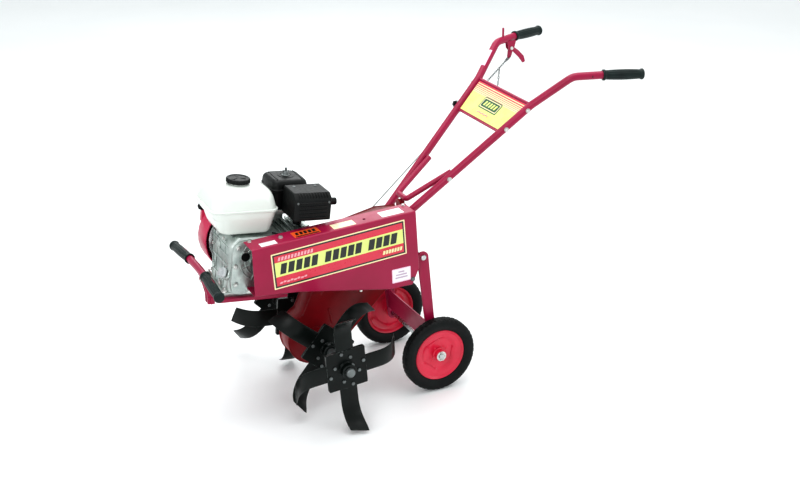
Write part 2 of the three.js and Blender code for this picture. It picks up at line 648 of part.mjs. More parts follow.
node('air_cleaner', BLACK, stacked([
  [108, 64, 154, 4, 94, 10],
  [160, 60, 158, -1, 98, 14],
  [164, 56, 162, -2, 101, 16],
  [184, 58, 160, 0, 99, 16],
  [192, 66, 152, 8, 91, 16],
], 3), chassis);
node('air_cleaner_nut', BLACK, join(
  post(110, 48, 12, 192 + GAP, 198, 16),
  box(101, 119, 45.5, 50.5, 197, 207),
  post(110, 48, 4, 197, 214, 12),
), chassis);

const SHIELD = { x0: 82, x1: 188, y0: -100, y1: -6, z0: 110, z1: 184, sheet: 2.5, roof: 20 };
const LOUVRE = { count: 5, pitch: 9, first: 8, height: 4, margin: 14 };
const TAIL = { y: -40, z: 140, radius: 10, from: 177, to: 227 }; // exhaust outlet
const louvre = (i) => {
  const z = SHIELD.z0 + LOUVRE.first + LOUVRE.pitch * i;
  return box(
    SHIELD.x0 + LOUVRE.margin, SHIELD.x1 - LOUVRE.margin, SHIELD.y0 - 5, SHIELD.y0 + 4, z, z + LOUVRE.height,
  );
};
node('muffler_guard', BLACK, cut(
  plate([
    [SHIELD.x0, SHIELD.z0], [SHIELD.x1, SHIELD.z0], [SHIELD.x1, SHIELD.z1 - 18],
    [SHIELD.x1 - 14, SHIELD.z1], [SHIELD.x0, SHIELD.z1],
  ], SHIELD.y0, SHIELD.y1),
  box(
    SHIELD.x0 + SHIELD.sheet, SHIELD.x1 - SHIELD.sheet, SHIELD.y0 + SHIELD.sheet, SHIELD.y1 - SHIELD.sheet,
    SHIELD.z0 - 5, SHIELD.z1 - SHIELD.roof,
  ),
  ...Array.from({ length: LOUVRE.count }, (_, i) => louvre(i)),
  box(SHIELD.x1 - 6, SHIELD.x1 + 6, TAIL.y - 12, TAIL.y + 12, TAIL.z - 12, TAIL.z + 12),
), chassis);
node('muffler', BLACK_STEEL, join(
  stacked([[114, 90, 180, -92, -14, 12], [160, 90, 180, -92, -14, 12]]),
  post(122, -28, 12, 77, 120),
  new THREE.CylinderGeometry(TAIL.radius, TAIL.radius, TAIL.to - TAIL.from, 16)
    .rotateZ(Math.PI / 2)
    .translate((TAIL.from + TAIL.to) / 2, TAIL.y, TAIL.z),
), chassis);
const OIL_CAP = { x: -84.5, y: -52, z: -44, lean: THREE.MathUtils.degToRad(20) };
const capAxis = new THREE.Vector3(-Math.cos(OIL_CAP.lean), 0, Math.sin(OIL_CAP.lean));
const capTurn = new THREE.Quaternion().setFromUnitVectors(new THREE.Vector3(0, 1, 0), capAxis);
node('oil_filler_cap', CAST, join(
  new THREE.CylinderGeometry(14, 14, 8, 18).translate(0, 10, 0),
  new THREE.BoxGeometry(20, 10, 12).translate(0, 18, 0),
).applyQuaternion(capTurn).translate(OIL_CAP.x, OIL_CAP.y, OIL_CAP.z), chassis);

export default tiller;
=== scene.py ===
"""Front-tine tiller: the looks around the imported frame. Metres; +X towards the handlebars, -Y the belt side."""

import json
import math

import bmesh
import bpy
from mathutils import Matrix, Vector, noise


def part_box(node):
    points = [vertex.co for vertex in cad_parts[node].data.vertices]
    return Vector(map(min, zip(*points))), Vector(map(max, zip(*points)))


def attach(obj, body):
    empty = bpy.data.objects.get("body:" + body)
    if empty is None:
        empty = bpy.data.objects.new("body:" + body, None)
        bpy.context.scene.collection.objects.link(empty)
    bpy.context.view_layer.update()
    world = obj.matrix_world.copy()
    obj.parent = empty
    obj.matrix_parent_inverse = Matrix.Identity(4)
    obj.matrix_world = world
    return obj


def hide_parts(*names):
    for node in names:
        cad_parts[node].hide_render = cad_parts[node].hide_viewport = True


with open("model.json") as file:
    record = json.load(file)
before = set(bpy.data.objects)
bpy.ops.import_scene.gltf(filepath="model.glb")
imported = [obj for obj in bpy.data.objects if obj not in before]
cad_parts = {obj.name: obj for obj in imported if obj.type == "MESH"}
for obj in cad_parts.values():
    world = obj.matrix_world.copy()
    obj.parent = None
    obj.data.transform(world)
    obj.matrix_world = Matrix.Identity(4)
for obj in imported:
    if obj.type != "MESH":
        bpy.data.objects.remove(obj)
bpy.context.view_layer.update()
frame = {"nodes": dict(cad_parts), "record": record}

MM = 0.001
PITCH = math.radians(6.5)
DATUM = 10.4  # height in mm of the drawing's zero level above the ground
BASE = Matrix.Translation((0, 0, DATUM * MM))
CHASSIS = BASE @ Matrix.Translation((-0.453, 0, 0.466)) @ Matrix.Rotation(PITCH, 4, "Y")
SIDES = (("left", -1), ("right", 1))
scene = bpy.context.scene

# ------------------------------------------------------------------ camera
camera = bpy.data.objects.new("camera", bpy.data.cameras.new("camera"))
scene.collection.objects.link(camera)
scene.camera = camera
camera.data.sensor_width = 36
camera.data.lens = 59.76
camera.location = (-1.569, -3.175, 1.9324)
AZIMUTH, ELEVATION = math.radians(-26.4), math.radians(23.6)
level = math.cos(ELEVATION)
looking = Vector((-math.sin(AZIMUTH) * level, math.cos(AZIMUTH) * level, -math.sin(ELEVATION)))
camera.rotation_euler = looking.to_track_quat("-Z", "Y").to_euler()


# ------------------------------------------------------------------ shapes: (points in mm, faces)
def slab(outline, y0, y1):
    """Flat piece: an outline of (x, z) points between two planes across Y."""
    n = len(outline)
    points = [(x, y0, z) for x, z in outline] + [(x, y1, z) for x, z in outline]
    rim = [(i, (i + 1) % n, n + (i + 1) % n, n + i) for i in range(n)]
    return points, [tuple(range(n)), tuple(range(n, 2 * n)), *rim]


def block(x0, x1, y0, y1, z0, z1):
    return slab([(x0, z0), (x1, z0), (x1, z1), (x0, z1)], y0, y1)


def arc(x, z, radius, start, end, steps):
    """Points on an arc in the XZ plane, angles in degrees from +X towards +Z."""
    angles = [math.radians(start + (end - start) * i / steps) for i in range(steps + 1)]
    return [(x + radius * math.cos(a), z + radius * math.sin(a)) for a in angles]


def basis(axis):
    """Two directions square to an axis; for Y they are X and Z."""
    axis = Vector(axis).normalized()
    first = Vector((1, 0, 0)) if abs(axis.x) < 0.9 else Vector((0, 1, 0))
    first = (first - axis * first.dot(axis)).normalized()
    return axis, first, first.cross(axis) if axis.y > 0.9 else axis.cross(first)


def lathe(profile, at, axis=(0, 1, 0), sides=48, ripple=None):
    """Turned piece: (radius, distance along the axis) pairs. A profile that ends where it starts is a ring."""
    axis, u, v = basis(axis)
    at = Vector(at)
    ring_shaped = profile[0] == profile[-1]
    rows = profile[:-1] if ring_shaped else profile
    points, index = [], []
    for r, t in rows:
        if r < 1e-6:
            index.append([len(points)] * sides)
            points.append(at + axis * t)
            continue
        row = []
        for k in range(sides):
            a = 2 * math.pi * k / sides
            radius = ripple(a, r, t) if ripple else r
            row.append(len(points))
            points.append(at + axis * t + (u * math.cos(a) + v * math.sin(a)) * radius)
        index.append(row)
    if ring_shaped:
        index.append(index[0])
    faces = []
    for a, b in zip(index, index[1:]):
        for k in range(sides):
            corners = [a[k], a[(k + 1) % sides], b[(k + 1) % sides], b[k]]
            face = list(dict.fromkeys(corners))
            if len(face) > 2:
                faces.append(tuple(face))
    if not ring_shaped:
        faces += [tuple(row) for row in (index[0], index[-1]) if len(set(row)) > 1]
    return points, faces


def sweep(line, radius, sides=20, closed=False):
    """Round bar along a line; radius may be one number or one for each point."""
    line = [Vector(p) for p in line]
    n = len(line)
    radii = radius if isinstance(radius, (list, tuple)) else [radius] * n

    def heading(i):
        if closed:
            return (line[(i + 1) % n] - line[i - 1]).normalized()
        return (line[min(i + 1, n - 1)] - line[max(i - 1, 0)]).normalized()

    tangent = heading(0)
    normal = basis(tangent)[1]
    points = []
    for i in range(n):
        turn = tangent.rotation_difference(heading(i))
        tangent = heading(i)
        normal = (turn @ normal).normalized()
        side = tangent.cross(normal)
        for k in range(sides):
            a = 2 * math.pi * k / sides
            points.append(line[i] + (normal * math.cos(a) + side * math.sin(a)) * radii[i])
    faces = []
    for i in range(n if closed else n - 1):
        j = (i + 1) % n
        for k in range(sides):
            m = (k + 1) % sides
            faces.append((i * sides + k, i * sides + m, j * sides + m, j * sides + k))
    if not closed:
        faces += [tuple(range(sides)), tuple(range((n - 1) * sides, n * sides))]
    return points, faces


def bent(corners, radius, steps=8):
    """A line of straight runs with each inner corner rounded."""
    corners = [Vector(p) for p in corners]
    line = [corners[0]]
    for before, corner, after in zip(corners, corners[1:], corners[2:]):
        back, ahead = (before - corner).normalized(), (after - corner).normalized()
        reach = radius / math.tan(back.angle(ahead) / 2)
        start, end = corner + back * reach, corner + ahead * reach
        for i in range(steps + 1):
            t = i / steps
            line.append(start * (1 - t) ** 2 + corner * 2 * t * (1 - t) + end * t * t)
    return [*line, corners[-1]]


def rounded(outline, radius, steps=4, keep=()):
    """An (x, z) outline with its corners rounded, apart from those whose index is in keep."""
    result = []
    n = len(outline)
    for i, corner in enumerate(outline):
        if i in keep:
            result.append(tuple(corner))
            continue
        c = Vector(corner)
        back, ahead = Vector(outline[i - 1]) - c, Vector(outline[(i + 1) % n]) - c
        reach = min(radius / math.tan(back.angle(ahead) / 2), back.length * 0.45, ahead.length * 0.45)
        start, end = c + back.normalized() * reach, c + ahead.normalized() * reach
        for k in range(steps + 1):
            t = k / steps
            result.append(tuple(start * (1 - t) ** 2 + c * 2 * t * (1 - t) + end * t * t))
    return result


def inset(outline, distance):
    """An outline moved inwards, corner by corner."""
    n = len(outline)
    area = sum(a[0] * b[1] - b[0] * a[1] for a, b in zip(outline, [*outline[1:], outline[0]]))
    turn = 1 if area > 0 else -1
    result = []
    for i in range(n):
        c = Vector(outline[i])
        before = (c - Vector(outline[i - 1])).normalized()
        after = (Vector(outline[(i + 1) % n]) - c).normalized()
        normal = Vector((-before.y - after.y, before.x + after.x)).normalized()
        miter = distance / max(0.35, normal.dot(Vector((-before.y, before.x))))
        result.append(tuple(c + normal * miter * turn))
    return result


def curve_through(rows, steps):
    """Rows of numbers with smooth ones put between them (Catmull-Rom)."""
    result = []
    for i in range(len(rows) - 1):
        a, b = rows[i], rows[i + 1]
        before, after = rows[max(i - 1, 0)], rows[min(i + 2, len(rows) - 1)]
        for k in range(steps):
            t = k / steps
            result.append([
                0.5 * (2 * q + (r - p) * t + (2 * p - 5 * q + 4 * r - s) * t * t
                       + (3 * q - p - 3 * r + s) * t ** 3)
                for p, q, r, s in zip(before, a, b, after)
            ])
    return [*result, list(rows[-1])]


def loft(levels, per_corner=8):
    """Closed skin through stacked rounded rectangles: [z, x0, x1, y0, y1, corner radius]."""
    points, faces = [], []
    for z, x0, x1, y0, y1, r in levels:
        corners = ((x1 - r, y1 - r, 0), (x0 + r, y1 - r, 90), (x0 + r, y0 + r, 180), (x1 - r, y0 + r, 270))
        for cx, cy, a in corners:
            points += [(x, y, z) for x, y in arc(cx, cy, r, a, a + 90, per_corner)]
    n = 4 * (per_corner + 1)
    for k in range(len(levels) - 1):
        for i in range(n):
            j = (i + 1) % n
            faces.append((k * n + i, k * n + j, (k + 1) * n + j, (k + 1) * n + i))
    return points, [*faces, tuple(range(n)), tuple(range((len(levels) - 1) * n, len(levels) * n))]


def moved(shape, matrix):
    return [matrix @ Vector(p) for p in shape[0]], shape[1]


def turn(shape, angle, axis, centre):
    centre = Vector(centre)
    return moved(shape, Matrix.Translation(centre) @ Matrix.Rotation(math.radians(angle), 4, axis)
                 @ Matrix.Translation(-centre))


def polar(centre, radius, angle, y=None):
    """The point at an angle about a centre, in the XZ plane; y is the centre's unless given."""
    return Vector((
        centre[0] + radius * math.cos(angle), centre[1] if y is None else y,
        centre[2] + radius * math.sin(angle),
    ))


def circle(centre, radius, count, y=None):
    return [polar(centre, radius, 2 * math.pi * i / count, y) for i in range(count)]


def bolt(at, axis, size=6.0, washer=True, head=None, stud=False):
    """Hex bolt head on its washer, axis pointing out of the surface; size is the thread's."""
    at, axis = Vector(at), Vector(axis).normalized()
    height = head or size * 0.65
    lift = size * 0.22 if washer else 0
    shapes = []
    if washer:
        r = size * 1.12
        shapes.append(lathe([(0, -0.4), (r, -0.4), (r, lift - 0.3), (r - 0.4, lift), (0, lift)], at, axis, 20))
    r = size * 0.96
    shapes.append(lathe([(0, lift - 0.1), (r, lift - 0.1), (r, lift + height - r * 0.16),
                         (r * 0.82, lift + height), (0, lift + height)], at, axis, 6))
    if stud:
        s = size * 0.5
        top = lift + height + size * 0.7
        shapes.append(lathe([(0, lift), (s, lift), (s, top - 1), (s - 0.8, top), (0, top)], at, axis, 12))
    return shapes


def dome(at, axis, radius, height, sides=16):
    """Rivet or button head."""
    profile = [(0, -0.5), (radius, -0.5), (radius, height * 0.25), (radius * 0.86, height * 0.68),
               (radius * 0.5, height * 0.94), (0, height)]
    return lathe(profile, at, axis, sides)


def weld(line, radius, seed, closed=False):
    """A ripple of weld metal along a line, one small swell for each pass of the torch."""
    fine = []
    pitch = radius * 0.45
    points = [Vector(p) for p in line]
    pairs = list(zip(points, [*points[1:], points[0]] if closed else points[1:]))
    for a, b in pairs:
        count = max(1, int((b - a).length / pitch))
        fine += [a.lerp(b, i / count) for i in range(count)]
    if not closed:
        fine.append(points[-1])
    radii = []
    for i, p in enumerate(fine):
        swell = 1 + 0.16 * math.sin(i * math.pi / 2) + 0.22 * noise.noise(p * 0.09 + Vector((seed, 0, 0)))
        radii.append(radius * swell)
    return sweep(fine, radii, 8, closed)


# ------------------------------------------------------------------ pieces
def mesh_object(name, shapes, materials, place=BASE):
    bm = bmesh.new()
    for shape in shapes:
        slot = shape[2] if len(shape) > 2 else 0
        made = [bm.verts.new(Vector(p) * MM) for p in shape[0]]
        for f in shape[1]:
            face = bm.faces.new([made[i] for i in f])
            face.material_index = slot
    bmesh.ops.transform(bm, matrix=place, verts=bm.verts)
    bmesh.ops.recalc_face_normals(bm, faces=bm.faces)
    mesh = bpy.data.meshes.new(name)
    bm.to_mesh(mesh)
    bm.free()
    for m in materials:
        mesh.materials.append(m)
    obj = bpy.data.objects.new(name, mesh)
    scene.collection.objects.link(obj)
    return obj


def shade(obj, sharp):
    """Smooth faces, with the edges that turn by more than sharp degrees kept crisp."""
    bm = bmesh.new()
    bm.from_mesh(obj.data)
    limit = math.radians(sharp)
    for face in bm.faces:
        face.smooth = True
    for edge in bm.edges:
        edge.smooth = not (len(edge.link_faces) == 2 and edge.calc_face_angle() > limit)
    bm.to_mesh(obj.data)
    bm.free()


def edges(obj, width, segments=2, angle=32):
    """Rounded edges in mm, with the flat faces kept flat."""
    for polygon in obj.data.polygons:
        polygon.use_smooth = True
    bevel = obj.modifiers.new("edges", "BEVEL")
    bevel.width = width * MM
    bevel.segments = segments
    bevel.limit_method = "ANGLE"
    bevel.angle_limit = math.radians(angle)
    bevel.harden_normals = True
    bevel.use_clamp_overlap = True


def piece(name, shapes, material, body, nodes=(), bevel=0, segments=2, sharp=34, place=BASE):
    """A piece from its shapes, riding on a body and standing for the CAD nodes that it replaces."""
    materials = material if isinstance(material, (list, tuple)) else [material]
    shapes = [shapes] if isinstance(shapes, tuple) else shapes
    obj = mesh_object(name, shapes, materials, place)
    if bevel:
        edges(obj, bevel, segments)
    else:
        shade(obj, sharp)
    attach(obj, body)
    if nodes:
        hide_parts(*([nodes] if isinstance(nodes, str) else nodes))
    return obj


def drawn_box(node):
    """A CAD node's box in the drawing's mm, measured from the datum."""
    low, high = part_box(node)
    drop = Vector((0, 0, DATUM))
    return low / MM - drop, high / MM - drop


def fasteners(name, shapes, place=BASE, material=None):
    """Bolts, nuts and screws, bright unless a material says otherwise."""
    return piece(name, shapes, material or ZINC, "chassis", sharp=25, place=place)


def body_of(node):
    return next(b for b, members in frame["record"]["behaviour"]["bodies"].items() if node in members)


def refined(node, material, bevel=0.8, segments=2, angle=32):
    """A CAD node's own shape, its flat facets joined and its edges rounded."""
    mesh = frame["nodes"][node].data.copy()
    bm = bmesh.new()
    bm.from_mesh(mesh)
    bmesh.ops.remove_doubles(bm, verts=bm.verts, dist=2e-6)
    bmesh.ops.dissolve_limit(bm, angle_limit=math.radians(1.5), verts=bm.verts, edges=bm.edges)
    bmesh.ops.recalc_face_normals(bm, faces=bm.faces)
    for face in bm.faces:
        face.material_index = 0
    bm.to_mesh(mesh)
    bm.free()
    mesh.materials.clear()
    mesh.materials.append(material)
    obj = bpy.data.objects.new(node + "_finished", mesh)
    scene.collection.objects.link(obj)
    edges(obj, bevel, segments, angle)
    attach(obj, body_of(node))
    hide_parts(node)
    return obj


# ------------------------------------------------------------------ materials
class Tree:
    """A material's node tree, with short ways to add and join nodes."""

    def __init__(self, name):
        self.material = bpy.data.materials.new(name)
        self.material.use_nodes = True
        self.nodes = self.material.node_tree.nodes
        self.links = self.material.node_tree.links
        self.shader = self.nodes["Principled BSDF"]
        self.place = self.add("ShaderNodeTexCoord").outputs["Object"]

    def add(self, kind, **settings):
        node = self.nodes.new(kind)
        for key, value in settings.items():
            setattr(node, key, value)
        return node

    def put(self, socket, value):
        if isinstance(value, bpy.types.NodeSocket):
            self.links.new(value, socket)
        else:
            socket.default_value = value

    def noise(self, scale, detail=3.0):
        node = self.add("ShaderNodeTexNoise")
        node.inputs["Scale"].default_value = scale
        node.inputs["Detail"].default_value = detail
        node.inputs["Roughness"].default_value = 0.55
        self.put(node.inputs["Vector"], self.place)
        return node.outputs["Fac"]

    def band(self, value, low, high, out_low=0.0, out_high=1.0):
        node = self.add("ShaderNodeMapRange")
        self.put(node.inputs["Value"], value)
        for key, number in zip(("From Min", "From Max", "To Min", "To Max"), (low, high, out_low, out_high)):
            node.inputs[key].default_value = number
        return node.outputs["Result"]

    def math(self, operation, a, b=0.0):
        node = self.add("ShaderNodeMath", operation=operation)
        self.put(node.inputs[0], a)
        self.put(node.inputs[1], b)
        return node.outputs[0]

    def mix(self, factor, a, b):
        node = self.add("ShaderNodeMix", data_type="RGBA")
        self.put(node.inputs["Factor"], factor)
        self.put(node.inputs[6], a)
        self.put(node.inputs[7], b)
        return node.outputs[2]

    def bump(self, height, strength, distance, normal=None):
        node = self.add("ShaderNodeBump")
        node.inputs["Strength"].default_value = strength
        node.inputs["Distance"].default_value = distance
        self.put(node.inputs["Height"], height)
        if normal is not None:
            self.put(node.inputs["Normal"], normal)
        return node.outputs["Normal"]

    def worn_edges(self, radius):
        """1 where the surface turns sharply within radius, broken up by noise."""
        round_off = self.add("ShaderNodeBevel", samples=4)
        round_off.inputs["Radius"].default_value = radius
        dot = self.add("ShaderNodeVectorMath", operation="DOT_PRODUCT")
        self.put(dot.inputs[0], round_off.outputs["Normal"])
        self.put(dot.inputs[1], self.add("ShaderNodeNewGeometry").outputs["True Normal"])
        edge = self.band(dot.outputs["Value"], 0.97, 0.82)
        return self.math("MULTIPLY", edge, self.band(self.noise(120, 5), 0.42, 0.62))


def rgba(r, g, b):
    return (r, g, b, 1.0)


def finish(name, colour, shade_colour, rough, metal=0.0, coat=0.0, coat_rough=0.08, blotch=9.0,
        contrast=(0.35, 0.65),
           spread=0.05, grain=900.0, grain_depth=0.00004, strength=0.25, peel=0.0, wear=None, specks=None,
           specular=0.5):
    """Painted, cast, moulded or bare: cloudy colour, uneven gloss and a fine surface grain."""
    t = Tree(name)
    cloud = t.band(t.noise(blotch, 4), *contrast)
    base = t.mix(cloud, rgba(*shade_colour), rgba(*colour))
    gloss = t.band(t.noise(blotch * 4.3, 5), 0.3, 0.7, rough - spread, rough + spread)
    if specks:
        dots = t.band(t.noise(specks[0], 2), specks[1], specks[1] + 0.03)
        base = t.mix(dots, base, rgba(*specks[2]))
    if wear:
        bare, radius = wear
        edge = t.worn_edges(radius)
        base = t.mix(edge, base, rgba(*bare))
        gloss = t.math("ADD", gloss, t.math("MULTIPLY", edge, 0.08))
        t.put(t.shader.inputs["Metallic"], t.band(edge, 0, 1, metal, 0.9))
    else:
        t.shader.inputs["Metallic"].default_value = metal
    t.put(t.shader.inputs["Base Color"], base)
    t.put(t.shader.inputs["Roughness"], gloss)
    t.shader.inputs["Coat Weight"].default_value = coat
    t.shader.inputs["Coat Roughness"].default_value = coat_rough
    t.shader.inputs["Specular IOR Level"].default_value = specular
    normal = t.bump(t.noise(grain, 3), strength, grain_depth)
    if peel:
        normal = t.bump(t.noise(260, 1), peel, 0.0001, normal)
    t.put(t.shader.inputs["Normal"], normal)
    return t.material


RED = finish("red_enamel", (0.34, 0.004, 0.055), (0.28, 0.003, 0.043), 0.36, coat=0.12, coat_rough=0.12,
             specular=0.35,
             grain=1500, grain_depth=0.00002, strength=0.12, peel=0.10, blotch=6)
# Chain case red: the enamel with a little less blue, darkened all over as painted shade for the shade the case
# sits in.
SHADED_CASE_RED = finish("case_enamel_painted_shade", (0.24, 0.002, 0.008), (0.13, 0.001, 0.004), 0.42, coat=0.08, specular=0.3,
    coat_rough=0.12,
                  grain=1200, grain_depth=0.00004, strength=0.2, peel=0.16, blotch=8)
WHEEL_RED = finish("wheel_enamel", (0.66, 0.012, 0.055), (0.54, 0.008, 0.040), 0.34, coat=0.15, grain=1500,
                   grain_depth=0.00002, strength=0.12, peel=0.12, blotch=14)
SHROUD_RED = finish("shroud_enamel", (0.56, 0.020, 0.085), (0.44, 0.012, 0.060), 0.38, coat=0.15, grain=1300,
                    grain_depth=0.00003, strength=0.15, peel=0.1, blotch=10)
TINE = finish("tine_steel", (0.003, 0.006, 0.005), (0.0015, 0.003, 0.0025), 0.36, coat=0.02, coat_rough=0.2,
              specular=0.22,
              blotch=16, grain=420, grain_depth=0.00012, strength=0.35, wear=((0.30, 0.34, 0.33), 0.0012))
ALUMINIUM = finish("cast_aluminium", (0.60, 0.66, 0.63), (0.38, 0.44, 0.42), 0.38, metal=0.85, blotch=26,
    spread=0.10,
                   grain=850, grain_depth=0.00012, strength=0.45, specks=(520, 0.66, (0.24, 0.28, 0.27)))
BRIGHT = finish("bright_steel", (0.66, 0.68, 0.68), (0.46, 0.48, 0.48), 0.26, metal=1.0, blotch=60, spread=0.07,
                grain=1400, grain_depth=0.00003, strength=0.2)
ZINC = finish("zinc_bolts", (0.72, 0.73, 0.70), (0.50, 0.52, 0.50), 0.32, metal=0.95, blotch=140, spread=0.08,
              grain=1500, grain_depth=0.00004, strength=0.25)
IRON = finish("grey_iron", (0.20, 0.22, 0.22), (0.12, 0.13, 0.13), 0.45, metal=0.8, blotch=30, grain=700,
              grain_depth=0.0001, strength=0.4)
TYRE = finish("tyre_rubber", (0.004, 0.006, 0.006), (0.002, 0.003, 0.003), 0.55, specular=0.22, blotch=22,
    spread=0.07, grain=1300,
              grain_depth=0.00005, strength=0.35)
GRIP = finish("grip_rubber", (0.006, 0.016, 0.015), (0.003, 0.009, 0.009), 0.42, specular=0.28, blotch=30,
    spread=0.06, grain=1600,
              grain_depth=0.00004, strength=0.3)
PLASTIC = finish("black_plastic", (0.004, 0.005, 0.005), (0.002, 0.003, 0.003), 0.42, specular=0.25,
    blotch=24, spread=0.05,
                 grain=1700, grain_depth=0.00005, strength=0.35, coat=0.04, coat_rough=0.3)
GUARD_BLACK = finish("guard_black", (0.004, 0.005, 0.005), (0.002, 0.003, 0.003), 0.46, specular=0.25,
    blotch=30, spread=0.07,
                     grain=900, grain_depth=0.00006, strength=0.3, coat=0.05, coat_rough=0.25)
TANK = finish("tank_white", (0.76, 0.80, 0.76), (0.70, 0.75, 0.70), 0.22, coat=0.4, coat_rough=0.06, blotch=7,
              spread=0.04, grain=1400, grain_depth=0.00002, strength=0.1, peel=0.08)
BELT = finish("belt_rubber", (0.020, 0.021, 0.021), (0.012, 0.013, 0.013), 0.6, blotch=80, grain=1500,
              grain_depth=0.00006, strength=0.4)
# A near-black film: painted shade for the inside of a hole.
PAINTED_HOLE_SHADE = finish("painted_hole_shade", (0.004, 0.004, 0.004), (0.002, 0.002, 0.002), 0.7, blotch=80)
SPRING_WIRE = finish("spring_wire", (0.34, 0.35, 0.35), (0.22, 0.23, 0.23), 0.35, metal=0.9, blotch=90,
    grain=1500,
                     grain_depth=0.00003, strength=0.2)
CABLE = finish("cable_sleeve", (0.22, 0.23, 0.22), (0.14, 0.15, 0.14), 0.4, blotch=60, grain=2000,
               grain_depth=0.00003, strength=0.3)


def printed(name, colour, shade_colour):
    """Vinyl or paper print: even ink with a faint halftone grain and a satin film."""
    return finish(name, colour, shade_colour, 0.30, coat=0.25, coat_rough=0.12, blotch=40, spread=0.04,
        grain=2200,
                  grain_depth=0.00001, strength=0.1)


INK = printed("ink_black", (0.010, 0.016, 0.012), (0.006, 0.010, 0.008))
CREAM = printed("ink_cream", (0.90, 0.80, 0.46), (0.86, 0.75, 0.42))
LIME = printed("ink_lime", (0.74, 0.84, 0.26), (0.70, 0.80, 0.22))
DECAL_RED = printed("ink_red", (0.66, 0.030, 0.070), (0.62, 0.024, 0.060))
ROSE = printed("ink_rose", (0.86, 0.42, 0.46), (0.82, 0.36, 0.42))
GREEN_INK = printed("ink_green", (0.016, 0.10, 0.045), (0.010, 0.08, 0.035))
PAPER = printed("label_white", (0.86, 0.84, 0.86), (0.80, 0.78, 0.80))
PINK = printed("label_pink", (0.84, 0.60, 0.74), (0.80, 0.56, 0.70))
LILAC = printed("ink_lilac", (0.52, 0.40, 0.52), (0.48, 0.36, 0.48))
ORANGE = printed("label_orange", (0.80, 0.12, 0.02), (0.74, 0.10, 0.02))


def decal(name, origin, across, up, layers, body, place=BASE):
    """Stacked thin films, later layers on earlier ones. Each is (material, outline in (across, up) mm)."""
    origin, across, up = Vector(origin), Vector(across).normalized(), Vector(up).normalized()
    out = across.cross(up)
    materials, shapes = [], []
    for height, (material, outline) in enumerate(layers):
        if material not in materials:
            materials.append(material)
        low, high = -0.05, 0.14 + 0.1 * height
        n = len(outline)
        points = [origin + across * a + up * b + out * t for t in (low, high) for a, b in outline]
        rim = [(i, (i + 1) % n, n + (i + 1) % n, n + i) for i in range(n)]
        shapes.append((points, [tuple(range(n)), tuple(range(n, 2 * n)), *rim], materials.index(material)))
    return piece(name, shapes, materials, body, sharp=30, place=place)


def quad(a0, b0, a1, b1, lean=0.0):
    return [(a0, b0), (a1, b0), (a1 + lean * (b1 - b0), b1), (a0 + lean * (b1 - b0), b1)]


def rounded_quad(a0, b0, a1, b1, r):
    return rounded([(a0, b0), (a1, b0), (a1, b1), (a0, b1)], r)


# -------------------------------------------------- clutch cable, taut between its chain and the arm
CHAIN_TOP = Vector((489, 222, 836))
CABLE_END = Vector((-213.6, 50.2, 362))
PULL = (CABLE_END - CHAIN_TOP).normalized()
PULL_LENGTH = (CABLE_END - CHAIN_TOP).length
CHAIN_LENGTH = 105


def on_pull(distance):
    return CHAIN_TOP + PULL * distance


cable_start, cable_stop = BASE @ (on_pull(PULL_LENGTH - 10) * MM), BASE @ (on_pull(CHAIN_LENGTH + 0.3) * MM)
cable_curve = bpy.data.curves.new("clutch_cable_sleeve", "CURVE")
cable_curve.dimensions = "3D"
cable_curve.bevel_depth = 1.6 * MM
cable_curve.bevel_resolution = 4
cable_curve.use_fill_caps = True
spline = cable_curve.splines.new("POLY")
CABLE_POINTS = 24
spline.points.add(CABLE_POINTS - 1)
for i, point in enumerate(spline.points):
    point.co = (*cable_start.lerp(cable_stop, i / (CABLE_POINTS - 1)), 1)
cable_curve.materials.append(CABLE)
cable = bpy.data.objects.new("clutch_cable_sleeve", cable_curve)
scene.collection.objects.link(cable)
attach(cable, "clutch_pull")
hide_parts("clutch_cable")

# ------------------------------------------------------------------ transport wheels


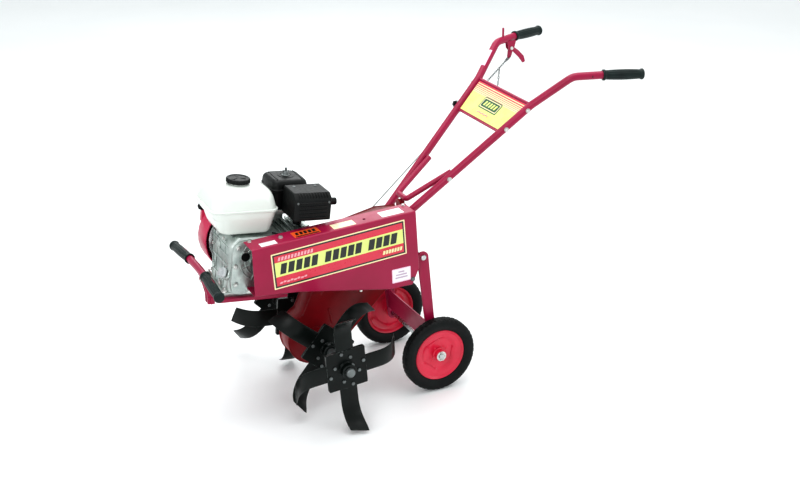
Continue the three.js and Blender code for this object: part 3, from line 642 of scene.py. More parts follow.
def wheel_pieces(side, sign):
    low, high = drawn_box(f"tyre_{side}")
    centre = (low + high) / 2
    outer = (high.z - low.z) / 2
    half = (high.y - low.y) / 2
    body = f"wheel_{side}"
    tread = [(outer - 0.6, -12), (outer, -10.6), (outer, -8.2), (outer - 2, -7.8), (outer - 2, -6.2),
        (outer, -5.8),
             (outer, -1.1), (outer - 2, -0.8)]
    shoulder = [(78.6, -12.4), (81, -14.5), (86, -17.2), (92, half * -0.97), (96.5, -half),
        (102, half * -0.985),
                (106.8, half * -0.90), (109.8, -15)]
    profile = shoulder + tread
    profile = profile + [(r, -t) for r, t in reversed(profile)]
    lugs = 44

    def blocks(angle, r, t):
        """Cross cuts in the shoulders of the tread."""
        if abs(t) > 8 and r > outer - 3 and (angle * lugs / (2 * math.pi)) % 1 < 0.26:
            return r - 1.4
        return r

    piece(f"tyre_{side}_moulded", lathe([*profile, profile[0]], centre, sides=264, ripple=blocks), TYRE, body,
          f"tyre_{side}", sharp=28)

    # the disc: dished, with a raised centre whose edge has three flats
    flats = [math.radians(a) for a in (112, 232, 352)]

    def pressed(angle, r, t):
        if not 46 < r < 65:
            return r
        turned_by = min(abs((angle - f + math.pi) % (2 * math.pi) - math.pi) for f in flats)
        flat = (r - 8) / max(math.cos(turned_by), 0.3)
        return min(r, flat)

    face = [(10, -5.5), (33, -5.2), (46, -4.8), (50, -3.6), (54, -0.5), (57, 2.2), (62, 3.0), (67, 1.6),
        (70.5, -2.5),
            (72.5, -8.0), (74.5, -11.5), (76.8, -12.4), (78.2, -11.4), (78.4, -9)]
    back = [(78.4, 9), (78.2, 11.4), (76.8, 12.4), (74.5, 11.5), (72.0, 7.0), (69, 6.2), (62, 6.0), (56, 5.2),
            (50, -0.4), (46, -1.6), (33, -2.0), (10, -2.2)]
    ring = [(r, sign * t) for r, t in face + back]
    piece(f"rim_{side}_pressed", lathe([*ring, ring[0]], centre, sides=120, ripple=pressed), WHEEL_RED, body,
          f"rim_{side}", sharp=50)
    hub = [(8.4, -18.5), (15.5, -18.5), (16.5, -17.5), (16.5, -6), (19.5, -4.4), (19.5, 4.4), (16.5, 6),
        (16.5, 17.5),
           (15.5, 18.5), (8.4, 18.5)]
    shapes = [lathe([*hub, hub[0]], centre, sides=48)]
    piece(f"hub_{side}", shapes, WHEEL_RED, body, sharp=35)
    rivets = []
    for k in range(4):
        at = polar(centre, 26, math.radians(33 + 90 * k), centre.y + sign * 5.4)
        rivets.append(dome(at, (0, sign, 0), 3.2, 1.8))
    for a in (205, 62, 318):
        at = polar(centre, 61, math.radians(a), centre.y - sign * 3.2)
        rivets.append(dome(at, (0, sign, 0), 4.2, 1.2, 20))
    piece(f"disc_rivets_{side}", rivets, WHEEL_RED, body, sharp=40)

    # axle end: washer, cotter pin and its bent legs
    axis = Vector((0, sign, 0))
    washer = lathe([(8.6, 0), (15, 0), (15, 1.8), (8.6, 1.8), (8.6, 0)],
                   (centre.x, centre.y + sign * 18.8, centre.z), axis, 32)
    pin_y = centre.y + sign * 22.6
    loop = [(centre.x + 3 * math.cos(a), pin_y, centre.z + 12 + 4 * math.sin(a))
            for a in [math.radians(-60 + 30 * k) for k in range(11)]]
    legs = [[(centre.x - 0.9, pin_y, centre.z + 9), (centre.x - 0.9, pin_y, centre.z - 10),
             (centre.x - 5, pin_y, centre.z - 14)],
            [(centre.x + 0.9, pin_y, centre.z + 9), (centre.x + 0.9, pin_y, centre.z - 10),
             (centre.x + 6, pin_y, centre.z - 13)]]
    shapes = [washer, sweep(loop, 1.0, 8), *[sweep(bent(leg, 2, 4), 0.9, 8) for leg in legs]]
    piece(f"axle_end_{side}", shapes, ZINC, "wheel_frame", sharp=40)


for side, sign in SIDES:
    wheel_pieces(side, sign)
    refined(f"wheel_leg_{side}", RED, 1.0)
refined("leg_cross_plate", RED, 0.8)

axle_low, axle_high = drawn_box("wheel_axle")
axle_centre = (axle_low + axle_high) / 2
half_axle = (axle_high.y - axle_low.y) / 2
piece("wheel_axle_turned", lathe([(0, -half_axle), (6.6, -half_axle), (8, -half_axle + 1.4),
    (8, half_axle - 1.4),
                                  (6.6, half_axle), (0, half_axle)], (axle_centre.x, 0, axle_centre.z),
                                  sides=40),
      BRIGHT, "wheel_frame", "wheel_axle", sharp=40)
pivot_low, pivot_high = drawn_box("leg_pivot_bar")
pivot = (pivot_low + pivot_high) / 2
half_bar = (pivot_high.y - pivot_low.y) / 2
piece("leg_pivot_bar_turned", [
    lathe([(0, -half_bar), (6.8, -half_bar), (8, -half_bar + 1.2), (8, half_bar - 1.2), (6.8, half_bar),
    (0, half_bar)],
          (pivot.x, 0, pivot.z), sides=40)], BRIGHT, "chassis", "leg_pivot_bar", sharp=40)

# welds where each leg meets the cross plate
plate_low, plate_high = drawn_box("leg_cross_plate")
beads = []
for _, sign in SIDES:
    y = (plate_low.y if sign < 0 else plate_high.y) - sign * 1.5
    beads.append(weld([(22.8, y, 196), (32.6, y, 125)], 2.2, sign + 3))
    beads.append(weld([(30.2, y, 196), (40.2, y, 125)], 2.2, sign + 7))
piece("leg_welds", beads, RED, "wheel_frame", sharp=60)

# ------------------------------------------------------------------ tines
BLADE_WIDTH, BLADE_THICK, BLADE_FLAT = 52, 6, 102


def blade(side, angle, shaft, y):
    """One curved blade: flat to the bend, then swept sideways, its two edges ground and its tip cut aslant."""
    line = [(24 + (BLADE_FLAT - 24) * i / 9, 0.0) for i in range(9)]
    radius, bend = 68, 60
    line += [(BLADE_FLAT + radius * math.sin(math.radians(a)), side * radius * (1 - math.cos(math.radians(a))))
             for a in [bend * i / 12 for i in range(1, 13)]]
    r, s = line[-1]
    line.append((r + 16 * math.cos(math.radians(bend)), s + side * 16 * math.sin(math.radians(bend))))
    line.append((r + 31 * math.cos(math.radians(bend)), s + side * 31 * math.sin(math.radians(bend))))
    lengths = [0.0]
    for a, b in zip(line, line[1:]):
        lengths.append(lengths[-1] + math.dist(a, b))
    total = lengths[-1]

    def at(distance):
        for i in range(len(line) - 1):
            if distance <= lengths[i + 1] or i == len(line) - 2:
                t = (distance - lengths[i]) / (lengths[i + 1] - lengths[i])
                (r0, s0), (r1, s1) = line[i], line[i + 1]
                along = Vector((r1 - r0, s1 - s0)).normalized()
                return r0 + (r1 - r0) * t, s0 + (s1 - s0) * t, along

    half = BLADE_WIDTH / 2
    section = [(-half, -0.5), (-half + 7, -BLADE_THICK / 2), (half - 7, -BLADE_THICK / 2), (half, -0.5),
               (half, 0.5), (half - 7, BLADE_THICK / 2), (-half + 7, BLADE_THICK / 2), (-half, 0.5)]
    steps = 30
    points = []
    for i in range(steps + 1):
        share = i / steps
        tip = max(0.0, (share - 0.9) / 0.1)
        for w, thick in section:
            reach = total * (1 - 0.10 * (0.5 - w / BLADE_WIDTH))
            pr, ps, along = at(share * reach)
            narrow = 1 - 0.05 * tip
            thin = thick * (1 - 0.55 * tip)
            points.append(Vector((pr - along.y * thin, ps + along.x * thin, w * narrow)))
    n = len(section)
    faces = [tuple(range(n)), tuple(range(steps * n, steps * n + n))]
    for i in range(steps):
        for k in range(n):
            m = (k + 1) % n
            faces.append((i * n + k, i * n + m, (i + 1) * n + m, (i + 1) * n + k))
    turned = Matrix.Translation((shaft.x, y, shaft.z)) @ Matrix.Rotation(-math.radians(angle), 4, "Y")
    return [turned @ p for p in points], faces


shaft_low, shaft_high = drawn_box("tine_shaft")
shaft = (shaft_low + shaft_high) / 2
TINE_SETS = {
    "tine_set_left_outer": (-249, 5, (1, -1, -1, -1)),
    "tine_set_left_inner": (-122, 50, (-1, 1, -1, 1)),
    "tine_set_right_inner": (122, 85, (-1, 1, 1, -1)),
    "tine_set_right_outer": (249, 45, (1, -1, 1, -1)),
}
for name, (y, first, bends) in TINE_SETS.items():
    hub = [(13, -24), (19.5, -24), (21, -22.5), (21, 22.5), (19.5, 24), (13, 24)]
    shapes = [lathe([*hub, hub[0]], (shaft.x, y, shaft.z), sides=40)]
    plate = rounded([(-58, -58), (58, -58), (58, 58), (-58, 58)], 5)
    square = slab([(x, z) for x, z in plate], -4.5, 4.5)
    place = Matrix.Translation((shaft.x, y, shaft.z)) @ Matrix.Rotation(-math.radians(first), 4, "Y")
    shapes.append(moved(square, place))
    hub_bolts = []
    for k, side in enumerate(bends):
        angle = first + 90 * k
        shapes.append(blade(side, angle, shaft, y))
        for reach in (35, 50):
            a = math.radians(angle)
            for off in (-13, 13):
                at = Vector((shaft.x + reach * math.cos(a) - off * math.sin(a), y,
                             shaft.z + reach * math.sin(a) + off * math.cos(a)))
                if (reach == 35) == (off < 0):
                    for out in (-1, 1):
                        hub_bolts += bolt(at + Vector((0, out * 4.4, 0)), (0, out, 0), 5.6, washer=out > 0,
                            head=4)
    for out in (-1, 1):
        shapes.append(weld(circle(shaft, 21.6, 40, y + out * 5.2), 1.9, y * 0.01 + out, closed=True))
    piece(name + "_forged", shapes, TINE, "tine_rotor", name, bevel=0.5, segments=1)
    a = math.radians(first + 45)
    for out in (-1, 1):
        hub_bolts += bolt(polar(shaft, 20.5, a, y + out * 15), (math.cos(a), 0, math.sin(a)), 5, washer=False)
    piece(name + "_bolts", hub_bolts, IRON, "tine_rotor", sharp=25)
half_shaft = (shaft_high.y - shaft_low.y) / 2
piece("tine_shaft_turned", lathe([
    (0, -half_shaft), (11, -half_shaft), (12.7, -half_shaft + 1.8), (12.7, 10.2), (56.5, 10.5),
    (56.5, 17.5), (12.7, 17.8),
    (12.7, half_shaft - 1.8), (11, half_shaft), (0, half_shaft)], (shaft.x, 0, shaft.z), sides=48),
      IRON, "tine_rotor", "tine_shaft", sharp=35)

# ------------------------------------------------------------------ chain case
# The chain case, its cover, welds and ribs all take the red darkened with painted shade.
refined("chain_case", SHADED_CASE_RED, 1.0)
refined("chain_case_cover", SHADED_CASE_RED, 0.8)
MID, JACK = Vector((-138, 0, 306)), Vector((-115, 0, 442))
CASE_OUTLINE = [
    (26, 372), (26, 470), (4, 505), (-60, 510), (-160, 490), (-205, 400), (-276, 337),
    *arc(shaft.x, shaft.z, 84, 116, 314, 24), (-52, 280), (-14, 330),
]
seam = [(x, 30.8, z) for x, z in CASE_OUTLINE]
near = [(x, -34.6, z) for x, z in inset(CASE_OUTLINE, 0.4)]
beads = [weld(seam, 1.7, 2.0, closed=True), weld(near, 1.5, 9.0, closed=True)]
for sign in (-1, 1):
    for centre, r in ((shaft, 30), (MID, 22)):
        beads.append(weld(circle(centre, r + 0.4, 48, sign * 35.2), 1.7, r + sign, closed=True))
piece("case_welds", beads, SHADED_CASE_RED, "chassis", sharp=60)
case_bolts = []
for sign in (-1, 1):
    for k in range(4):
        at = polar(shaft, 22, math.radians(45 + 90 * k), sign * 43.8)
        case_bolts += bolt(at, (0, sign, 0), 5, head=3.6)
    for k in range(3):
        at = polar(MID, 15.5, math.radians(30 + 120 * k), sign * 39.8)
        case_bolts += bolt(at, (0, sign, 0), 4, head=3)
for x, z in ((-196, 395), (-150, 470), (-70, 492), (-200, 245), (-330, 130), (-240, 110), (-90, 285),
        (-300, 305)):
    case_bolts += bolt((x, 34.8, z), (0, 1, 0), 5)
fasteners("case_bolts", case_bolts)
# pressed stiffening ribs on the near wall of the case
ribs = []
for (x0, z0), (x1, z1) in (((-182, 408), (-262, 300)), ((-150, 432), (-166, 352)), ((-60, 470), (-52, 320)),
                            ((-238, 252), (-228, 205))):
    ribs.append(sweep([(x0, -34.4, z0), (x1, -34.4, z1)], 3.2, 16))
piece("case_ribs", ribs, SHADED_CASE_RED, "chassis", sharp=50)
plug = lathe([(0, 0), (8, 0), (8, 3), (7, 4), (0, 4)], (-250, -34.8, 130), (0, -1, 0), 24)
piece("case_drain_plug", [plug, *bolt((-250, -38.6, 130), (0, -1, 0), 6, washer=False)], IRON, "chassis",
    sharp=30)

for side, _ in SIDES:
    refined(f"jackshaft_bearing_{side}", BRIGHT, 0.5)

# ------------------------------------------------------------------ deck and lift handle
refined("engine_deck", RED, 0.9)
DECK_TOP, DECK_FRONT = -106.3, -112
deck_bolts = []
for y in (-20, 66):
    deck_bolts += bolt((DECK_FRONT + 0.2, y, DECK_TOP - 5.4), (-1, 0, 0), 4.4)
for x in (-84, 74):
    for y in (-62, 68):
        deck_bolts += bolt((x - 6 if x < 0 else x + 4, y, DECK_TOP + 13), (0, 0, 1), 8, stud=True)
fasteners("deck_bolts", deck_bolts, CHASSIS)

BAR = [(-610, -192, 431), (-605, -120, 440), (-604, 0, 441), (-605, 120, 440), (-610, 192, 431)]
bar_line = bent(BAR, 120, 6)
shapes = [sweep(bar_line, 10.5, 32)]
for y in (-54, -38):
    outline = rounded([(-600, 352), (-581, 352), (-581, 376), (-594, 441), (-614, 441), (-600, 380)], 4, 3)
    shapes.append(slab(outline, y - 3, y + 3))
shapes.append(block(-592, -580.4, -60, -32, 352, 372))
piece("lift_handle_formed", shapes, RED, "chassis", "lift_handle", bevel=0.8)
beads = []
for y in (-54, -38):
    for off in (-3.6, 3.6):
        beads.append(weld([(-614, y + off, 437), (-604, y + off, 430.6), (-595, y + off, 434)], 1.6, y + off))
        beads.append(weld([(-599, y + off, 372.6), (-582, y + off, 372.6)], 1.5, y - off))
piece("lift_handle_welds", beads, RED, "chassis", sharp=60)


def grip(name, node, start, end, inner, outer, flutes=14):
    """Moulded hand grip between two points: collar, fluted barrel and a rounded end."""
    start, end = Vector(start), Vector(end)
    length = (end - start).length
    axis = (end - start).normalized()
    rows = [(inner, 0.6), (outer - 1.5, 0), (outer - 0.1, 1.2), (outer, 2.6), (outer, 5), (outer - 0.5, 6.8),
            (outer - 2.2, 8.6), (outer - 2.4, 11)]
    barrel = 26
    for i in range(barrel + 1):
        share = i / barrel
        swell = math.sin(math.pi * share)
        rows.append((outer - 2.4 + 1.5 * swell, 12 + (length - 26) * share))
    rows += [(outer - 2.0, length - 11.5), (outer - 0.5, length - 9.2), (outer, length - 7),
        (outer - 0.4, length - 4),
             (outer - 2.4, length - 1.6), (outer - 6, length), (0, length)]

    def fluted(angle, r, t):
        inside = min(1.0, max(0.0, (t - 11) / 6)) * min(1.0, max(0.0, (length - 13 - t) / 6))
        return r - 0.9 * inside * (0.5 - 0.5 * math.cos(flutes * angle)) ** 2 if r > inner + 0.5 else r

    hollow = [(inner, length - 10), (0, length - 10)]
    profile = list(reversed(hollow)) + rows
    return piece(name, lathe(profile, start, axis, 112, fluted), GRIP, "chassis", node, sharp=50)


for side, sign in SIDES:
    grip(f"lift_grip_{side}_moulded", f"lift_grip_{side}", (-604.6, sign * 63, 440.6),
        (-609.9, sign * 195.6, 432.0),
         11.2, 15)

# ------------------------------------------------------------------ belt guard
GUARD_OUT, GUARD_IN, SHEET = -150, -84, 2.5
GUARD_OUTLINE = [(-500, 528), (-497, 392), (-369, 380), (-99, 331), (-26, 331), (-5, 379), (-17, 554)]


def guard_shell():
    """Folded sheet: a side face with rounded edges into the top, rear and lower flanges; the front is open."""
    fold = 5.0
    outline = rounded(GUARD_OUTLINE, 7, 4, keep=(0, 1))
    levels = [(0.0, GUARD_IN), (0.0, GUARD_OUT + fold)]
    steps = 5
    for i in range(1, steps + 1):
        a = math.pi / 2 * i / steps
        levels.append((fold * (1 - math.cos(a)), GUARD_OUT + fold * (1 - math.sin(a))))
    points, faces = [], []
    for distance, y in levels:
        row = inset(outline, distance) if distance else outline
        row = [(outline[i][0], z) if i in (0, 1) else (x, z) for i, (x, z) in enumerate(row)]
        points += [(x, y, z) for x, z in row]
    n = len(outline)
    for k in range(len(levels) - 1):
        for i in range(1, n):
            j = (i + 1) % n
            faces.append((k * n + i, k * n + j, (k + 1) * n + j, (k + 1) * n + i))
    faces.append(tuple(range((len(levels) - 1) * n, len(levels) * n)))
    return points, faces


def cut_with(obj, shapes):
    """Takes the shapes out of obj, for holes that go through it."""
    tool = mesh_object("cutter", shapes, [])
    boolean = obj.modifiers.new("holes", "BOOLEAN")
    boolean.operation = "DIFFERENCE"
    boolean.solver = "EXACT"
    boolean.object = tool
    bpy.context.view_layer.update()
    evaluated = obj.evaluated_get(bpy.context.evaluated_depsgraph_get())
    mesh = bpy.data.meshes.new_from_object(evaluated)
    obj.modifiers.clear()
    old, obj.data = obj.data, mesh
    bpy.data.meshes.remove(old)
    bpy.data.objects.remove(tool)


def thicken(obj, outermost, outward, thickness, even):
    """Gives a one-sided skin its sheet thickness inwards; outermost picks a face that looks along outward."""
    bm = bmesh.new()
    bm.from_mesh(obj.data)
    bmesh.ops.recalc_face_normals(bm, faces=bm.faces)
    if max(bm.faces, key=outermost).normal.dot(Vector(outward)) < 0:
        bmesh.ops.reverse_faces(bm, faces=bm.faces)
    bm.to_mesh(obj.data)
    bm.free()
    sheet = obj.modifiers.new("sheet", "SOLIDIFY")
    sheet.thickness = thickness * MM
    sheet.offset = -1
    if even:
        sheet.use_even_offset = True


guard = mesh_object("belt_guard_folded", [guard_shell()], [RED])
thicken(guard, lambda f: f.calc_area(), (0, -1, 0), SHEET, even=True)
cut_with(guard, [lathe([(0, -20), (4.5, -20), (4.5, 40), (0, 40)], (-163, -121, 540), (0, 0, 1), 24)])
edges(guard, 0.6, 2)
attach(guard, "chassis")
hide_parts("belt_guard")
refined("guard_backplate", RED, 0.5)

TOP_SLOPE = Vector((483, 0, 26)).normalized()
TOP_NORMAL = Vector((-26, 0, 483)).normalized()


def on_top(along, y):
    """A point on the guard's top, by its distance from the front edge."""
    return Vector((-500, y, 528)) + TOP_SLOPE * along


fasteners("guard_rear_bolt", bolt((-27, GUARD_OUT, 350), (0, -1, 0), 6), material=IRON)
fasteners("guard_top_bolts", [
    *bolt(on_top(96, -112), TOP_NORMAL, 6), *bolt(on_top(14, -94), TOP_NORMAL, 5),
    *bolt(on_top(470, -95), TOP_NORMAL, 5)])

# the side decal: bordered, a plain band of leaning bars between two red bands
DECAL_WIDE, DECAL_HIGH = 396, 104
layers = [
    (CREAM, rounded_quad(0, 0, DECAL_WIDE, DECAL_HIGH, 2)),
    (INK, rounded_quad(3.6, 3.6, DECAL_WIDE - 3.6, DECAL_HIGH - 3.6, 1.5)),
    (DECAL_RED, quad(8, 8, DECAL_WIDE - 8, 35)),
    (DECAL_RED, quad(8, 77, DECAL_WIDE - 8, DECAL_HIGH - 8)),
    (LIME, quad(8, 35, DECAL_WIDE - 8, 77)),
]
a = 20.0
for count in (5, 5, 4):
    for k in range(count):
        layers.append((INK, quad(a, 41, a + 17, 71, 0.22)))
        a += 22.6
    a += 17.0
for k in range(11):
    layers.append((ROSE, quad(17 + k * 9.4, 81.5, 23 + k * 9.4, 91.5, 0.3)))
for k in range(8):
    layers.append((ROSE, quad(16 + k * 10.0, 15 + (k % 2) * 1.5, 23 + k * 10.0, 19 + (k % 2) * 1.5, 0.6)))
for k in range(7):
    layers.append((CREAM, quad(322 + k * 8.6, 17, 327.5 + k * 8.6, 27, 0.3)))
decal("guard_side_decal", (-441, GUARD_OUT, 402), (394, 0, 30), (-30, 0, 394), layers, "chassis")
layers = [(PINK, rounded_quad(0, 0, 58, 42, 2.5)), (PAPER, rounded_quad(3, 3, 55, 39, 1.5))]
for k, (start, end) in enumerate(((20, 38), (12, 46), (10, 48))):
    layers.append((LILAC, quad(start, 29 - 8.5 * k, end, 33 - 8.5 * k)))
decal("guard_corner_label", (-91, GUARD_OUT, 348), (58, 0, 2.0), (-2.0, 0, 58), layers, "chassis")


def top_label(name, start, end, y0, y1, layers):
    """A label on the guard's top, given in mm from the front edge and across."""
    return decal(name, on_top(start, y0), TOP_SLOPE, (0, 1, 0), layers(end - start, y1 - y0), "chassis")


def lined(ground, ink, rows):
    def layers(long, wide):
        made = [(ground, rounded_quad(0, 0, long, wide, 1.5))]
        for k in range(rows):
            b = wide * (0.2 + 0.62 * k / max(rows - 1, 1))
            made.append((ink, quad(long * 0.08, b, long * (0.92 - 0.13 * (k % 3)), b + wide * 0.07)))
        return made
    return layers


top_label("top_label_rear", 386, 452, -138, -102, lined(PAPER, LILAC, 4))
top_label("top_label_middle", 240, 306, -140, -108, lined(CREAM, LILAC, 3))


def orange_label(long, wide):
    """Orange label with a plain dark band and short bars."""
    made = [(ORANGE, rounded_quad(0, 0, long, wide, 1.5)), (INK,
        quad(long * 0.05, wide * 0.05, long * 0.95, wide * 0.2))]
    for k in range(5):
        made.append((INK, quad(long * (0.12 + 0.16 * k), wide * 0.36, long * (0.22 + 0.16 * k), wide * 0.78,
            0.1)))
    return made


top_label("top_label_orange", 128, 204, -136, -98, orange_label)
top_label("top_label_front", 30, 76, -142, -118, lined(PAPER, LILAC, 2))

# ------------------------------------------------------------------ belt drive
refined("drive_belt", BELT, 0.6)


def pulley_piece(node, groove_depth=10.5):
    low, high = drawn_box(node)
    centre = (low + high) / 2
    outer = (high.z - low.z) / 2
    bore = 14.3 if node == "engine_pulley" else 10.3
    hub = 20 if node == "engine_pulley" else 18
    belt_y = -121 - centre.y
    wide, wall = 6.6, 9.6
    web = 5.0 if outer > 60 else wall
    profile = [(bore, -wall), (hub, -wall), (hub + 1.5, -web if outer > 60 else -wall)]
    if outer > 60:
        profile += [(outer - 18, -web), (outer - 16, -wall)]
    profile += [(outer - 0.8, -wall), (outer, -wall + 0.8), (outer, -wide - 0.7),
        (outer - groove_depth, -wide + 0.6),
                (outer - groove_depth, wide - 0.6), (outer, wide + 0.7), (outer, wall - 0.8),
                (outer - 0.8, wall)]
    if outer > 60:
        profile += [(outer - 16, wall), (outer - 18, web), (hub + 1.5, web)]
    profile += [(hub, wall + 7.4), (hub - 0.8, wall + 8), (bore, wall + 8)]
    profile = [(r, t + belt_y) for r, t in profile]
    shapes = [lathe([*profile, profile[0]], centre, sides=72)]
    return piece(node + "_turned", shapes, IRON, body_of(node), node, sharp=30)


pulley_piece("engine_pulley")
pulley_piece("driven_pulley")
refined("idler_arm", ZINC, 0.6)
refined("idler_pulley", IRON, 0.6)
JACK_END = [(0, -140), (8.6, -140), (10, -138.6), (10, -17.6), (18.4, -17.5), (18.4, -10.5), (10, -10.4),
    (10, 42.6),
            (8.6, 44), (0, 44)]
piece("jackshaft_turned", [lathe(JACK_END, JACK, sides=40)], BRIGHT, "jackshaft", "jackshaft", sharp=35)



# return spring and its wire at the rear of the guard
def helix(start, end, radius, turns, wire):
    start, end = Vector(start), Vector(end)
    _, u, v = basis(end - start)
    steps = int(turns * 14)
    line = []
    for i in range(steps + 1):
        a = 2 * math.pi * turns * i / steps
        line.append(start.lerp(end, i / steps) + (u * math.cos(a) + v * math.sin(a)) * radius)
    return sweep(line, wire, 8), line


coil, coil_line = helix((-62, -66, 318), (-30, -66, 296), 5.0, 11, 0.9)
hooks = [sweep(bent([coil_line[0], (-64, -66, 322), (-72, -66, 336)], 2, 4), 0.9, 8),
         sweep(bent([coil_line[-1], (-22, -66, 291), (-8, -66, 306), (4, -66, 392)], 3, 4), 0.9, 8)]
piece("lock_spring", [coil, *hooks], SPRING_WIRE, "chassis", sharp=60)

# ------------------------------------------------------------------ handlebars
HANDLE = [(-62, 46.5, 447), (-8, 47, 495), (342, 149, 808),
          (436, 208, 893), (514, 237, 895.6), (622, 271, 893.7)]
TUBE_R = 11


def handle_line(sign):
    points = [Vector((x, sign * y, z)) for x, y, z in HANDLE]
    lower = bent(points[:3], 26, 6)[:-1]
    upper = bent(points[1:4], 60, 8)[1:-1]
    top = bent(points[2:5], 46, 14)[1:-1]
    last = bent(points[3:], 40, 6)[1:]
    return lower + upper + top + last


GRIP_IN, GRIP_END = Vector(HANDLE[4]), Vector(HANDLE[5])
GRIP_AXIS = (GRIP_END - GRIP_IN).normalized()


def mirror(p, sign):
    return Vector((p[0], sign * p[1], p[2]))


def on_handle(sign, share, low=1, high=2):
    """A point of the straight run between two corners, and the way out from the machine there."""
    a, b = mirror(HANDLE[low], sign), mirror(HANDLE[high], sign)
    along = (b - a).normalized()
    out = Vector((0, sign, 0)) - along * along.y * sign
    return a.lerp(b, share), out.normalized(), along


for side, sign in SIDES:
    line = handle_line(sign)
    shapes = [sweep(line, TUBE_R, 40)]
    if sign > 0:
        # lever ears and the peg above them
        for y in (214, 227):
            ear = [(478, 889), (482, 864), *arc(493, 866, 9, 200, 340, 10), (508, 889)]
            shapes.append(slab(ear, y, y + 3))
        shapes.append(lathe([(0, -8), (3.2, -8), (3.2, 28), (2.6, 29), (0, 29)], (462, 215.5, 903),
            (0, 0, 1), 20))
    piece(f"handlebar_{side}_bent", shapes, RED, "chassis", f"handlebar_{side}", sharp=42)
    grip(f"grip_{side}_moulded", f"grip_{side}", mirror(GRIP_IN, sign),
        mirror(GRIP_END + GRIP_AXIS * 6, sign), 11.4,
         15.5)
    heads = []
    for share in (0.36, 0.80, 0.965):
        at, out, _ = on_handle(sign, share)
        heads += bolt(at + out * (TUBE_R - 0.6), out, 6)
    for share in (0.25, 0.78):
        a, b = Vector((-62, sign * 46.5, 447)), Vector((-8, sign * 47, 495))
        heads += bolt(a.lerp(b, share) + Vector((0, sign * (TUBE_R - 0.4), 0)), (0, sign, 0), 8)
    fasteners(f"handlebar_bolts_{side}", heads)
    # A thin near-black disc on each tube stands for a bolt hole: painted shade on the surface, not an opening.
    at = mirror(Vector(HANDLE[3]).lerp(GRIP_IN, 0.62), sign)
    piece(f"handlebar_hole_shade_{side}", [lathe([(0, 0), (3.6, 0), (3.6, 0.5), (0, 0.5)],
        at + Vector((0, sign * 10.75, 0)),
                                           (0, sign, 0), 20)], PAINTED_HOLE_SHADE, "chassis", sharp=30)
# a knob on the far tube
knob_at, knob_out, _ = on_handle(1, 0.79)
knob_bolt = bolt(knob_at + knob_out * 12, knob_out, 7, stud=True)
piece("far_tube_knob", [*knob_bolt, lathe([(0, 4), (9, 4), (10, 6), (10, 12), (8.5, 14), (0, 14)],
    knob_at + knob_out * 12,
                                        knob_out, 18, lambda a, r,
                                        t: r * (1 + 0.10 * math.cos(6 * a)) if r > 5 else r)],
      PLASTIC, "chassis", sharp=35)
label_a, _, label_along = on_handle(1, 0.30, 2, 3)
label_b = mirror(HANDLE[2], 1).lerp(mirror(HANDLE[3], 1), 0.72)
# the label wraps only the upper side of the tube: a slightly thinner core that stands out there
label_side = Vector((-label_along.z, 0, label_along.x)).normalized()
sleeve = [label_a.lerp(label_b, k / 12) + label_side * 1.1 for k in range(13)]
piece("far_tube_label", [sweep(sleeve, TUBE_R - 0.7, 40)], PINK, "chassis", sharp=40)

# brace
brace_line = bent([(136, 67, 618), (14, 26, 541), (14, -26, 541), (136, -67, 618)], 10, 8)
piece("handlebar_brace_bent", [sweep(brace_line, 8, 32)], RED, "chassis", "handlebar_brace", sharp=42)

# panel between the handlebars
LOW, TOP = Vector((257, 0, 732)), Vector((342, 0, 808))


def half_width(y):
    """Half the panel's width where the tube's middle is y from the centre plane."""
    return y - TUBE_R / math.cos(0.28) - 0.6


LOW_HALF, TOP_HALF = half_width(125), half_width(149)
slope = (TOP - LOW).normalized()
panel_out = Vector((-slope.z, 0, slope.x))
panel_high = (TOP - LOW).length
corners = [LOW + Vector((0, -LOW_HALF, 0)), LOW + Vector((0, LOW_HALF, 0)), TOP + Vector((0, TOP_HALF, 0)),
           TOP + Vector((0, -TOP_HALF, 0))]
points = [c + panel_out * t for t in (-1.5, 1.5) for c in corners]
sheet_faces = [(0, 1, 2, 3), (4, 5, 6, 7), (0, 1, 5, 4), (1, 2, 6, 5), (2, 3, 7, 6), (3, 0, 4, 7)]
rim = sweep([TOP + Vector((0, -TOP_HALF + 3, 0)), TOP + Vector((0, TOP_HALF - 3, 0))], 5, 24)
lower_rim = sweep([LOW + Vector((0, -LOW_HALF + 2, 0)), LOW + Vector((0, LOW_HALF - 2, 0))], 2.4, 16)
piece("handlebar_panel_folded", [(points, sheet_faces), rim, lower_rim], RED, "chassis", "handlebar_panel",
    bevel=0.6)


def across_panel(b):
    return LOW_HALF + (TOP_HALF - LOW_HALF) * b / panel_high


def panel_band(material, b0, b1, margin=4.0):
    a0, a1 = across_panel(b0) - margin, across_panel(b1) - margin
    return material, [(-a0, b0), (a0, b0), (a1, b1), (-a1, b1)]


layers = [panel_band(LIME, 6, panel_high - 7), panel_band(CREAM, panel_high * 0.64, panel_high - 7)]
for b, wide in ((0.665, 1.1), (0.71, 1.3), (0.755, 1.5), (0.80, 2.0), (0.85, 3.2), (0.91, 4.4)):
    layers.append(panel_band(DECAL_RED, panel_high * b, panel_high * b + wide))
layers += [
    (GREEN_INK, rounded_quad(-47, 37, 49, 75, 6)),
    (CREAM, rounded_quad(-44, 40, 46, 72, 5)),
    (GREEN_INK, rounded_quad(-41, 43, 43, 69, 4)),
]
for k in range(5):
    layers.append((LIME, quad(-32 + k * 14, 48, -24 + k * 14, 64, 0.25)))
for k in range(7):
    layers.append((ROSE, quad(-34 + k * 9, 21 + (k % 2) * 1.6, -28 + k * 9, 24.5 + (k % 2) * 1.6, 0.5)))
decal("panel_decal", LOW + panel_out * 1.5, (0, -1, 0), slope, layers, "chassis")

# -------------------------------------------------- clutch lever, its chain and the cable's ends
refined("clutch_lever", RED, 0.9)
PIVOT = Vector((493, 222, 866))
fasteners("lever_pivot_bolt", [*bolt(PIVOT + Vector((0, 8, 0)), (0, 1, 0), 5, stud=True),
                               *bolt(PIVOT + Vector((0, -8, 0)), (0, -1, 0), 5)])


